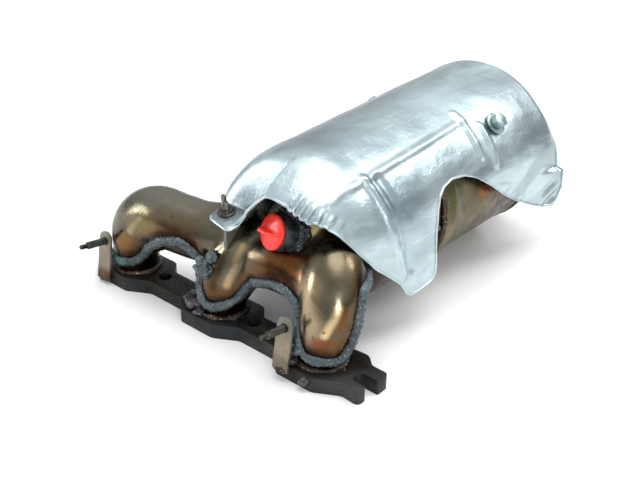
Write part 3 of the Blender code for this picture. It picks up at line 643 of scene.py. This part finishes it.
# Routes of the runners: X, Y, Z and radius.
RUNNER_ROUTES = (
    [(-82, 0, 1, 14.2), (-82, 0, 12, 14.2), (-81, 0, 28, 16.9), (-76, 0.5, 42, 18.8),
     (-63, 2, 52.5, 19.5), (-42, 4, 53.5, 19.5), (-20, 9, 53, 19.6), (4, 23, 56, 20.5),
     (26, 48, 60, 24)],
    [(0, 0, 1, 14.2), (0, 0, 12, 14.2), (2, 2, 28, 17.5), (8, 10, 44, 19.5),
     (18, 24, 54, 21), (30, 48, 60, 24)],
    [(82, 0, 1, 14.2), (82, 0, 13, 14.2), (83, 1.3, 18.5, 16.9), (84, 3, 26, 18),
     (84, 6, 42, 19), (79, 13, 54, 19.8), (64.5, 28, 59, 20), (44, 50, 60, 24)],
)
# Webs that fill the crotches between the runners.
WEB_ROUTES = (
    [(-80, 0, 30, 13), (-62, 1, 42, 14), (-46, 3, 50, 14)],
    [(10, 12, 46, 15), (32, 13, 50, 17), (55, 13, 51, 17), (78, 9, 50, 16)],
)


def route_mesh(route, foot=True):
    """The outside of one runner as a round tube of changing radius."""
    curve = bpy.data.curves.new("route", "CURVE")
    curve.dimensions = "3D"
    curve.bevel_depth = MM
    curve.bevel_resolution = 14
    curve.use_fill_caps = True
    curve.resolution_u = 14
    curve.use_radius = True
    spline = curve.splines.new("BEZIER")
    spline.radius_interpolation = "CARDINAL"
    spline.bezier_points.add(len(route) - 1)
    for point, (x, y, z, radius) in zip(spline.bezier_points, route):
        point.co = at(x, y, z)
        point.radius = radius
        point.handle_left_type = point.handle_right_type = "AUTO"
    if foot:
        spline.bezier_points[0].handle_right_type = "VECTOR"
        spline.bezier_points[1].handle_left_type = "VECTOR"
    return evaluated_mesh(linked("temporary", curve))


def collector_mesh():
    """The round collector in front of the converter, with its domed nose."""
    steps = 24
    depth = COLLECTOR_SHOULDER - COLLECTOR_NOSE
    profile = [(0.01, BODY_FRONT - 0.3), (BODY_R, BODY_FRONT - 0.3)]
    profile += [(BODY_R, COLLECTOR_SHOULDER + 4 * i) for i in range(12, -1, -1)]
    for i in range(1, steps + 1):
        turn = pi / 2 * i / steps
        profile.append((max(0.01, BODY_R * cos(turn)), COLLECTOR_SHOULDER - depth * sin(turn)))
    return lathe_mesh("collector", profile, (AXIS_X, 0, AXIS_Z), ALONG, 96)


def seam_height(x, y):
    """Height of the parting surface, as in the CAD."""
    shifts = (-SEAM_ROUNDING, 0, SEAM_ROUNDING)
    front = sum(interpolated(SEAM_FRONT, x + shift) for shift in shifts) / len(shifts)
    return front + (SEAM_BACK - front) * smoothstep(SEAM_TURN_START, SEAM_TURN_END, y)


def above_seam(point):
    """How far a point of the shared frame is above the parting surface, in millimetres."""
    x, y = point.x / MM + BOX_CENTRE_X, point.y / MM + BOX_CENTRE_Y
    return point.z / MM - seam_height(x, y)


VOXEL = 1.25
RELAX_ROUNDS = 26


def skin():
    """Runners and collector blended into one smooth surface."""
    bm = bmesh.new()
    meshes = [route_mesh(route) for route in RUNNER_ROUTES]
    meshes += [route_mesh(route, False) for route in WEB_ROUTES]
    for mesh in meshes + [collector_mesh()]:
        bm.from_mesh(mesh)
    source = linked("temporary", mesh_of(bm, "skin"))
    remesh = source.modifiers.new("blend", "REMESH")
    remesh.mode = "VOXEL"
    remesh.voxel_size = VOXEL * MM
    relax = source.modifiers.new("relax", "SMOOTH")
    relax.factor = 0.5
    relax.iterations = RELAX_ROUNDS
    return evaluated_mesh(source)


def half_mesh(mesh, upper, name):
    """The faces of the skin on one side of the seam, without its hidden ends."""
    bm = bmesh.new()
    bm.from_mesh(mesh)
    unwanted = []
    for face in bm.faces:
        centre = face.calc_center_median()
        inside = centre.z < SKIN_FOOT * MM or centre.y > at(0, SKIN_BACK, 0).y
        if inside or (above_seam(centre) > 0) != upper:
            unwanted.append(face)
    bmesh.ops.delete(bm, geom=unwanted, context="FACES")
    return mesh_of(bm, name)


def seam_paths(mesh):
    """Lines where the skin crosses the parting surface, in order along the weld."""
    bm = bmesh.new()
    bm.from_mesh(mesh)
    height = {vert: above_seam(vert.co) for vert in bm.verts}
    links = {}
    places = {}
    for face in bm.faces:
        crossed = []
        for edge in face.edges:
            a, b = edge.verts
            if (height[a] > 0) != (height[b] > 0):
                part = height[a] / (height[a] - height[b])
                places[edge.index] = a.co.lerp(b.co, part)
                crossed.append(edge.index)
        if len(crossed) == 2:
            links.setdefault(crossed[0], []).append(crossed[1])
            links.setdefault(crossed[1], []).append(crossed[0])
    bm.free()
    paths = []
    while links:
        chain = []
        ahead = [next(iter(links))]
        while ahead:
            chain.append(ahead[0])
            ahead = [n for n in links.pop(ahead[0]) if n in links]
        paths.append([places[i] for i in chain])
    return [p for p in paths if len(p) > 30]


def build_seam_weld(surface):
    """The thick bead along the parting line, up to the converter."""
    bm = bmesh.new()
    rear = at(0, BODY_FRONT - 4, 0).y
    for number, path in enumerate(seam_paths(surface)):
        start = next((i for i, p in enumerate(path) if p.y > rear), 0)
        path = path[start:] + path[:start]
        path = [p for p in path if p.y <= rear]
        path = smoothed(resampled(path, 1.1 * MM), 4)
        add_bead(bm, path, 3.4, 7.0 + number, rough=0.15, flat=0.9)
    bead_piece("seam_weld", bm, WELD_BLUE)


def build_runners():
    """The shells, seam, collars and port liners; returns the skin as a search tree."""
    surface = skin()
    piece("runner_upper_shell", half_mesh(surface, True, "upper"), RUNNER,
          ("upper_shell",), angle=60)
    piece("runner_lower_shell", half_mesh(surface, False, "lower"), RUNNER,
          ("lower_shell",), angle=60)
    build_seam_weld(surface)
    low = COLLAR_FOOT + EDGE
    profile = [(COLLAR_R, COLLAR_TOP), (COLLAR_R, low), (COLLAR_R - EDGE, COLLAR_FOOT),
               (COLLAR_BORE_R + EDGE, COLLAR_FOOT), (COLLAR_BORE_R, low),
               (COLLAR_BORE_R, COLLAR_TOP), (COLLAR_R, COLLAR_TOP)]
    for side, port in zip(("left", "middle", "right"), PORTS):
        piece(side + "_port_collar", lathe_mesh("collar", profile, (port, 0, 0), UP, 64),
              RUNNER, (side + "_collar",))
    liner = [(COLLAR_BORE_R, COLLAR_TOP - 0.1), (COLLAR_BORE_R, LINER_TOP), (0.05, LINER_TOP + 0.2)]
    bm = bmesh.new()
    for port in PORTS:
        add_lathe(bm, liner, (port, 0, 0), UP, 64)
    bead_piece("port_liners", bm, CONVERTER, angle=40)
    return BVHTree.FromPolygons([v.co for v in surface.vertices],
                                [p.vertices for p in surface.polygons])


def circle_path(centre, axis, radius, count):
    """Points of the shared frame round a circle of design millimetres."""
    turn = Vector(UP).rotation_difference(Vector(axis).normalized())
    angles = [2 * pi * i / count for i in range(count)]
    return [at(*(Vector(centre) + turn @ Vector((cos(a), sin(a), 0)) * radius)) for a in angles]


def build_welds(tree):
    """Welds at the collars and at the converter's and outlet's ends."""
    bm = bmesh.new()
    for number, port in enumerate(PORTS):
        path = circle_path((port, 0, FLANGE_T + 0.6), UP, COLLAR_R + 0.8, 90)
        add_bead(bm, path, 1.7, 20.0 + number, closed=True, rough=0.35)
    bead_piece("collar_welds", bm, WELD_BROWN)

    bm = bmesh.new()
    rings = (((AXIS_X, BODY_FRONT, AXIS_Z), BODY_R, 260, 2.3, 0.2),
             ((AXIS_X, BODY_BACK + 0.2, AXIS_Z), BODY_R, 260, 2.0, 0.15),
             ((AXIS_X, OUTLET_WELD_Y, OUTLET_Z), OUTLET_WELD_R, 120, 2.0, 0.22))
    for number, (centre, radius, count, size, rough) in enumerate(rings):
        path = circle_path(centre, ALONG, radius, count)
        add_bead(bm, path, size, 31.0 + number, closed=True, rough=rough)
    bead_piece("ring_welds", bm, WELD_BROWN)
    build_boss_weld(tree)


def build_boss_weld(tree):
    """Two rough beads where the sensor boss meets the skin."""
    outward = boss_axis()
    path = []
    for start in circle_path(PLUG_SEAT, outward, BOSS_R + 0.6, 80):
        hit = tree.ray_cast(start, -outward)
        depth = hit[3] if hit[0] else BOSS_WELD_DEPTH * MM
        depth = min(max(depth, BOSS_WELD_LEAST * MM), BOSS_WELD_MOST * MM)
        path.append(start - outward * depth)
    path = smoothed(path, 6, closed=True)
    bm = bmesh.new()
    add_bead(bm, path, 3.0, 41.0, closed=True, rough=0.5)
    add_bead(bm, [p + outward * 2.0 * MM for p in path], 1.6, 43.0, closed=True, rough=0.7)
    bead_piece("boss_weld", bm, WELD_DARK)


def boss_axis():
    """Outward direction of the sensor boss."""
    return Vector((-sin(BOSS_YAW) * cos(TILT), -cos(BOSS_YAW) * cos(TILT), sin(TILT)))


def add_blob(bm, centre, size, seed, squash, detail):
    """One irregular spatter lump."""
    made = bmesh.ops.create_icosphere(bm, subdivisions=detail, radius=size * MM)
    for vert in made["verts"]:
        place = vert.co / (size * MM) + Vector((seed, 0, 0))
        vert.co *= 1 + 0.40 * noise.noise(place * 1.3) + 0.11 * noise.noise(place * 4.0)
        vert.co.z *= squash
        vert.co += centre


# Lumps of weld spatter: place, size, squash.
BLUE_LUMPS = (((-3, -12, 42), 6.4, 0.85), ((1, -9, 50), 3.6, 1.5), ((-7, -11, 46), 3.4, 1.0),
              ((76, -13.5, 20), 5.0, 0.7), ((71, -14, 22), 3.8, 0.9))
GREY_LUMPS = (((-20, -7, 11.5), 6.0, 0.45), ((-13, -12, 12.5), 5.2, 0.5), ((-24, -3, 11), 4.0, 0.4),
              ((86, -20.0, 5.4), 3.0, 1.0), ((73, -16, 13), 4.0, 0.6), ((-5, -16, 12), 3.6, 0.6))
SPATTER_COUNT = 90


def build_spatter():
    """Large lumps at the seam and flange, and fine spatter on the flange."""
    for name, lumps, material in (("seam_lumps", BLUE_LUMPS, WELD_BLUE),
                                  ("flange_lumps", GREY_LUMPS, WELD_GREY)):
        bm = bmesh.new()
        for number, (centre, size, squash) in enumerate(lumps):
            add_blob(bm, at(*centre), size, 3.0 + 5 * number, squash, 4)
        bead_piece(name, bm, material)
    chance = random.Random(17)
    bm = bmesh.new()
    for _ in range(SPATTER_COUNT):
        port = chance.choice(PORTS)
        angle = chance.uniform(-pi, 0.2)
        reach = COLLAR_R + 1.5 + 8 * chance.random() ** 2
        x, y = port + reach * cos(angle), reach * sin(angle)
        if y > FLANGE_FRONT_EDGE and hypot(x - port - PORT_TO_BOLT, y) > BOLT_HOLE_R + 1:
            size = chance.uniform(0.35, 0.9)
            add_blob(bm, at(x, y, FLANGE_T + 0.1), size, chance.random(), 0.7, 1)
    bead_piece("flange_spatter", bm, WELD_GREY)


# ---- shield

# Right-hand edge of the shield, front to back: Y and angle on the dome, then Y and height.
FRONT_EDGE = ((-4.0, -18.6), (-1.4, -10.5), (1.4, -1.0), (2.6, 8.0), (3.6, 22.0), (4.2, 34.0),
              (5.6, 44.0), (10.0, 50.0))
SIDE_EDGE = ((14.5, 86), (19, 80.5), (25.5, 71), (31, 64.5), (37, 58), (50.5, 47), (60, 39),
             (65, 30.5), (69, 27.7), (78, 27.4), (90, 29.2), (94.4, 34), (95.4, 44), (96, 62),
             (98, 74), (101.5, 81), (108, 85.6), (118, 87.7), (131, 86), (141, 82), (156, 72),
             (169, 62), (187, 51), (207, 41), (222, 34.5), (230, 34), (235, 38),
             (238, 46))
# Left-hand edge, as Y and height.
LEFT_EDGE = ((-4, 78), (24, 78), (30, 70), (46, 53), (56, 50), (238, 50))


def shield_radius(y):
    """Radius of the dome about the converter's axis."""
    if y < NOSE_CENTRE_Y:
        part = (NOSE_CENTRE_Y - y) / NOSE_LENGTH
        return SHIELD_R_NEAR * sqrt(max(0.0, 1 - part * part))
    reach = (y - NOSE_CENTRE_Y) / (SHIELD_END_Y - NOSE_CENTRE_Y)
    return SHIELD_R_NEAR + (SHIELD_R_FAR - SHIELD_R_NEAR) * reach


def edge_turn(y, z):
    """How far round the shield a height lies: an angle, continued down the skirt."""
    radius = shield_radius(y)
    if z >= AXIS_Z:
        return acos(min(1.0, (z - AXIS_Z) / radius))
    return pi / 2 + (AXIS_Z - z) / radius


def segment_distance(p, a, b):
    """Distance from a point to a line's nearest place between two ends."""
    ab = b - a
    part = max(0.0, min(1.0, (p - a).dot(ab) / ab.length_squared))
    return (p - a - ab * part).length


def ridge(place, line, width, height):
    """A pressed rib along a line of (y, distance round the dome) points."""
    nearest = min(segment_distance(place, a, b) for a, b in zip(line, line[1:]))
    return height * max(0.0, 1 - (nearest / width) ** 2) ** 2 if nearest < width else 0.0


def rib_line(*points):
    """Points as (y, distance round the dome) from (y, z) points on the right-hand side."""
    return [Vector((y, shield_radius(y) * edge_turn(y, z))) for y, z in points]


# Pressed ribs: line, half width, height.
RIBS = ((rib_line((20, 99), (40, 104), (110, 108), (155, 111)), 3.6, 0.9),
        (rib_line((49, 105), (53, 78), (57, 63), (64, 43)), 4.4, 2.0),
        (rib_line((60, 103), (64, 78), (67, 63), (70, 45)), 5.0, -1.4),
        (rib_line((153, 114), (152.5, 101), (152, 92)), 4.6, 2.0),
        (rib_line((166, 106), (165, 90), (164, 84)), 4.2, 1.8))
DIMPLE = rib_line((57.7, 67.5))[0]
DIMPLE_R = 4.5
DIMPLE_DEPTH = 1.3
# Where the gathers start, as an angle and Y.
PLEAT_EDGE = ((0, 2.6), (22, 3.6), (34, 4.2), (44, 5.6), (50, 10.0), (57, 14.5), (66, 19.0))


def sheet_offset(y, turn):
    """How far the sheet stands off its plain dome: ribs, gathers, dimple and handling dents."""
    place = Vector((y, shield_radius(y) * turn))
    lift = sum(ridge(place, line, width, height) for line, width, height in RIBS)
    lift -= DIMPLE_DEPTH * max(0.0, 1 - ((place - DIMPLE).length / DIMPLE_R) ** 2)
    angle = degrees(turn)
    pleats = smoothstep(20, 27, angle) * (1 - smoothstep(52, 60, angle))
    from_edge = y - interpolated(PLEAT_EDGE, angle)
    fade = 1 - smoothstep(4, 12, from_edge)
    wander = 0.9 * noise.noise(Vector((y, place.y, 0)) * 0.2)
    lift += pleats * fade * 1.25 * sin(turn * 62 + 0.55 * from_edge + wander)
    lift += 0.9 * noise.noise(Vector((y * 0.022, place.y * 0.03, 2.0)))
    lift += 0.30 * noise.noise(Vector((y * 0.07, place.y * 0.09, 5.0)))
    far = smoothstep(214, 226, y) * (1 - smoothstep(230, 238, y)) * smoothstep(90, 104, angle)
    lift += far * 1.1 * sin(place.y * 0.5 + 0.25 * y)
    return lift


def soft_minimum(first, second, width):
    """The smaller value, with a rounded change from one to the other."""
    part = max(0.0, width - abs(first - second)) / width
    return min(first, second) - part * part * width / 4


def seat_height(x, y):
    """Height of the shield's front seat, rising to the right and to the back."""
    flat = SEAT_Z + SEAT_SLOPE * (y - SEAT_Y)
    return flat + max(0.0, 1.4 * (x - SEAT_RIGHT), 2.2 * (y - SEAT_BACK))


def shield_point(y, turn):
    """A design point of the sheet at a distance along and an angle round."""
    radius = shield_radius(y)
    into = max(0.0, y - (SHIELD_END_Y - SHOULDER)) / SHOULDER
    inward = SHOULDER * (1 - sqrt(max(0.0, 1 - into * into)))
    angle = max(-pi / 2, min(pi / 2, turn))
    skirt = max(0.0, abs(turn) - pi / 2) * radius
    lift = sheet_offset(y, turn)
    radius += lift - inward * (1 - max(0.0, sin(angle)) ** 6)
    x = AXIS_X + radius * sin(angle)
    z = AXIS_Z + radius * cos(angle) - skirt
    if turn < 0:
        z = soft_minimum(z, seat_height(x, y), 11.0)
    if turn > pi / 2:
        far = max(0.0, y - (SHIELD_END_Y - FLARE_LENGTH)) / FLARE_LENGTH
        x += 0.06 * skirt + FLARE * far * far
        x += 1.2 * smoothstep(12, 30, skirt) * (1 - smoothstep(90, 110, y))
    return x, y, z


def edge_columns():
    """Columns of the sheet: a distance along, and the angle of its right-hand edge."""
    corners = [(y, radians(angle)) for y, angle in FRONT_EDGE]
    corners += [(y, edge_turn(y, z)) for y, z in SIDE_EDGE]
    scale = 50.0
    points = [Vector((y, turn * scale, 0)) for y, turn in corners]
    fine = smoothed(resampled(points, 0.5), 5)
    spaced = resampled(fine, 1.3)
    spaced.append(points[-1])
    return [(p.x, p.y / scale) for p in spaced]


def build_hem(name, path, radius, seed):
    """A smooth bright folded edge along a path."""
    bm = bmesh.new()
    add_bead(bm, path, radius, seed, rough=0.03, ripple=400, sides=8)
    bead_piece(name, bm, HEM, angle=80)


def build_shield():
    """The shield's sheet and the bright hem along its right and far edges."""
    rows = 170
    bm = bmesh.new()
    grid = []
    for y, right in edge_columns():
        left = -edge_turn(y, interpolated(LEFT_EDGE, y))
        grid.append([bm.verts.new(at(*shield_point(y, left + (right - left) * i / rows)))
                     for i in range(rows + 1)])
    for column, following in zip(grid, grid[1:]):
        for a, b, c, d in zip(column, column[1:], following[1:], following):
            bm.faces.new((a, b, c, d))
    edge = [column[-1].co.copy() for column in grid]
    edge += [vert.co.copy() for vert in reversed(grid[-1])]
    source = linked("temporary", mesh_of(bm, "shield"))
    add_sheet(source, -1.0)
    piece("shield_sheet", evaluated_mesh(source), SHIELD, ("heat_shield",),
          angle=50)
    build_hem("shield_hem", resampled(edge, 1.2 * MM), 0.85, 60.0)


def build_seat_tab():
    """The tab at the shield's front left, with its folded edge."""
    outline = [(-7, -6), (-4.5, -9.3), (11, -12.4), (14, -11), (15.2, -6), (15.5, 7), (-8, 7)]
    bm = bmesh.new()
    bm.faces.new([bm.verts.new(at(SEAT_X + x, SEAT_Y + y, SEAT_Z + SEAT_SLOPE * y - 0.05))
                  for x, y in outline])
    source = linked("temporary", mesh_of(bm, "tab"))
    add_sheet(source, 0.0)
    rounding = source.modifiers.new("edge", "BEVEL")
    rounding.width = EDGE * MM
    rounding.segments = 2
    piece("shield_tab", evaluated_mesh(source), TAB_SHEET)
    rim = [at(SEAT_X + x, SEAT_Y + y, SEAT_Z + SEAT_SLOPE * y) for x, y in outline[:5]]
    rim += [at(21.5, 0.5, 83.5), at(25.5, -3.6, 88.2)]
    build_hem("shield_tab_hem", smoothed(resampled(rim, 0.8 * MM), 3), 0.9, 61.0)


# ---- converter

def build_converter():
    """The can with two raised bands, then the outlet's and the filling's CAD shapes."""
    band = BODY_R + 0.9
    profile = [(BODY_R - BODY_T, BODY_BACK), (BODY_R, BODY_BACK), (BODY_R, BODY_BACK - 5),
               (band, BODY_BACK - 7), (band, BODY_BACK - 10), (BODY_R, BODY_BACK - 12)]
    profile += [(BODY_R, y) for y in (200, 180, 160, 140, 130)]
    profile += [(band, 128), (band, 125), (BODY_R, 123), (BODY_R, BODY_FRONT),
                (BODY_R - BODY_T, BODY_FRONT)]
    piece("converter_can", lathe_mesh("can", profile, (AXIS_X, 0, AXIS_Z), ALONG, 144),
          CONVERTER, ("converter_body",))
    refined("outlet_transition", "outlet_cone", CONVERTER, 0.5)
    refined("outlet_plate", "outlet_flange", FLANGE, 0.8)
    refined("brick", "catalyst_brick", BRICK, 0.3, 1)
    refined("brick_mat", "support_mat", MAT, 0.3, 1)


# ---- flange, brackets, fasteners

TAB_TILT = radians(8.5)
TAB_Y = -22.7
TAB_T = 1.8
TAB_HOLE_H = 27.6
TAB_WELD_HALF = 5.4
LEFT_TAB = (-92.0, 3.0)  # X, height of the foot
RIGHT_TAB = (69.2, 6.5)
STUD_R = 2.5
STUD_TIP_R = 1.6
STUD_SUNK = 1.2
THREAD_STEP = 0.2


def build_stud(name, node, base, direction, length, material, thread):
    """A stud with a collar at its base, points for its thread, and a thinner tip."""
    profile = [(0.02, length), (STUD_TIP_R - 0.5, length), (STUD_TIP_R, length - 0.6),
               (STUD_TIP_R, length - 5)]
    steps = int((length - 6.2) / THREAD_STEP)
    profile += [(STUD_R, THREAD_STEP * i) for i in range(steps, -1, -1)]
    profile += [(STUD_R, -0.3), (STUD_R + 1.2, -0.3), (STUD_R + 1.2, -STUD_SUNK),
                (0.02, -STUD_SUNK)]
    bm = bmesh.new()
    add_lathe(bm, profile, base, direction, 36, thread)
    piece(name, mesh_of(bm, name), material, (node,), angle=30)


def build_brackets():
    """The two upright tabs, their studs and the welds at their feet."""
    outward = Vector((0, -cos(TAB_TILT), sin(TAB_TILT)))
    upward = Vector((0, sin(TAB_TILT), cos(TAB_TILT)))
    for side, (x, foot) in (("left", LEFT_TAB), ("right", RIGHT_TAB)):
        refined(side + "_tab", side + "_bracket", BRACKET, 0.35, 2)
        base = Vector((x, TAB_Y + TAB_T, foot)) + upward * TAB_HOLE_H
        build_stud(side + "_tab_stud", side + "_stud", base, outward, TAB_T + 20, STUD,
                   (3.0, 14.5, 0.32, 1.0))
        path = [at(x + TAB_WELD_HALF * (2 * i / 12 - 1), TAB_Y + 1.0, foot + 0.5)
                for i in range(13)]
        bm = bmesh.new()
        add_bead(bm, path, 1.5, 70.0 + x, rough=0.5)
        bead_piece(side + "_tab_weld", bm, WELD_BROWN)


def build_fasteners():
    """The shield's front stud with its nut and bracket, and its two bolts."""
    lean = Vector((0, -SEAT_SLOPE, 1)).normalized()
    seat = Vector((SEAT_X, SEAT_Y, SEAT_Z)) - lean * (SHIELD_T + 0.65)
    build_stud("seat_stud", "shield_stud", seat - lean * 2.0, lean, 17.0, STUD_BRIGHT,
               (5.0, 10.8, 0.3, 1.0))
    refined("seat_nut", "shield_nut", STUD, 0.25, 2)
    refined("seat_bracket", "shield_bracket", BRACKET, 0.3, 2)
    for side in ("right", "left"):
        node = side + "_shield_bolt"
        refined(side + "_hex_bolt", node, BOLT, 0.5)
        refined(side + "_washer", node + "_washer", BOLT, 0.25, 2)
        refined(side + "_post", node + "_post", BRACKET, 0.3, 2)


def build_boss():
    """The sensor boss and the plug that closes it."""
    top = BOSS_LENGTH
    profile = [(BOSS_BORE_R, 0), (BOSS_R, 0), (BOSS_R, top - 5.5), (12.4, top - 3.5),
               (11.0, top - 0.4), (10.6, top), (BOSS_BORE_R + EDGE, top),
               (BOSS_BORE_R, top - EDGE), (BOSS_BORE_R, 0)]
    origin = PLUG_SEAT - boss_axis() * (top + EDGE)
    piece("sensor_seat", lathe_mesh("boss", profile, origin, boss_axis(), 72), BOSS,
          ("sensor_boss",))
    refined("transit_plug", "sensor_plug", PLASTIC, 0.45, 3, PLUG)


# ---- stage

FLOOR_HALF = 40.0
# Area lights: name, place, width and height in metres, power in watts.
LIGHTS = (("left", (-0.95, -0.75, 0.34), (0.20, 0.50), 4.0),
          ("front", (1.20, -0.78, 0.46), (0.14, 0.50), 4.5),
          ("top", (0.10, 0.10, 1.45), (1.20, 1.20), 12.0),
          ("rim", (0.55, 0.80, 0.95), (0.50, 0.50), 4.0))
LIGHT_TARGET = Vector((0, 0, 0.04))


def build_floor():
    size = FLOOR_HALF
    floor = bpy.data.meshes.new("floor")
    floor.from_pydata([(-size, -size, 0), (size, -size, 0), (size, size, 0), (-size, size, 0)], [],
                      [(0, 1, 2, 3)])
    graph = Graph("studio_floor")
    cloud = graph.noise(2.0, 2)
    graph.tone = graph.ramp(cloud, ((0.0, (0.86, 0.86, 0.86)), (1.0, (0.88, 0.88, 0.88))))
    floor.materials.append(graph.finish(graph.remap(cloud, 0, 1, 0.85, 0.9)))
    obj = linked("floor", floor)


def build_world():
    """A pale studio: darker near the horizon, near white above."""
    world = bpy.data.worlds.new("studio")
    world.use_nodes = True
    tree = world.node_tree
    background = tree.nodes["Background"]
    direction = tree.nodes.new("ShaderNodeTexCoord")
    split = tree.nodes.new("ShaderNodeSeparateXYZ")
    tree.links.new(direction.outputs["Generated"], split.inputs[0])
    sky = tree.nodes.new("ShaderNodeValToRGB")
    stops = ((0.02, (0.34, 0.35, 0.37, 1.0)), (0.55, (0.97, 0.985, 1.0, 1.0)))
    for element, (position, color) in zip(sky.color_ramp.elements, stops):
        element.position = position
        element.color = color
    tree.links.new(split.outputs[2], sky.inputs[0])
    tree.links.new(sky.outputs[0], background.inputs["Color"])
    bpy.context.scene.world = world


def build_lights():
    for name, place, (width, height), power in LIGHTS:
        light = bpy.data.lights.new(name, "AREA")
        light.shape = "ELLIPSE"
        light.size = width
        light.size_y = height
        light.energy = power
        lamp = linked(name, light)
        lamp.location = place
        lamp.rotation_euler = (LIGHT_TARGET - Vector(place)).to_track_quat("-Z", "Y").to_euler()


CAMERA_AZIMUTH = radians(39.9)
CAMERA_ELEVATION = radians(28.64)
CAMERA_ROLL = radians(1.51)
CAMERA_PLACE = (390.2, -372.6, 352.9)
CAMERA_LENS = 56.25


def build_camera():
    """Camera at the photograph's angle: above, in front and to the right of the ports."""
    az, el, roll = CAMERA_AZIMUTH, CAMERA_ELEVATION, CAMERA_ROLL
    back = Vector((sin(az) * cos(el), -cos(az) * cos(el), sin(el)))
    level = Vector((cos(az), sin(az), 0))
    up = back.cross(level)
    right = level * cos(roll) + up * sin(roll)
    top = up * cos(roll) - level * sin(roll)
    data = bpy.data.cameras.new("camera")
    data.lens = CAMERA_LENS
    data.clip_start = 0.01
    camera = linked("camera", data)
    place = Matrix((right, top, back)).transposed().to_4x4()
    camera.matrix_world = Matrix.Translation(at(*CAMERA_PLACE)) @ place
    bpy.context.scene.camera = camera
    bpy.context.scene.view_settings.view_transform = "Standard"


skin_tree = build_runners()
build_welds(skin_tree)
build_spatter()
refined("port_flange", "head_flange", FLANGE, 1.1)
build_converter()
build_brackets()
build_fasteners()
build_boss()
build_shield()
build_seat_tab()
build_floor()
build_world()
build_lights()
build_camera()
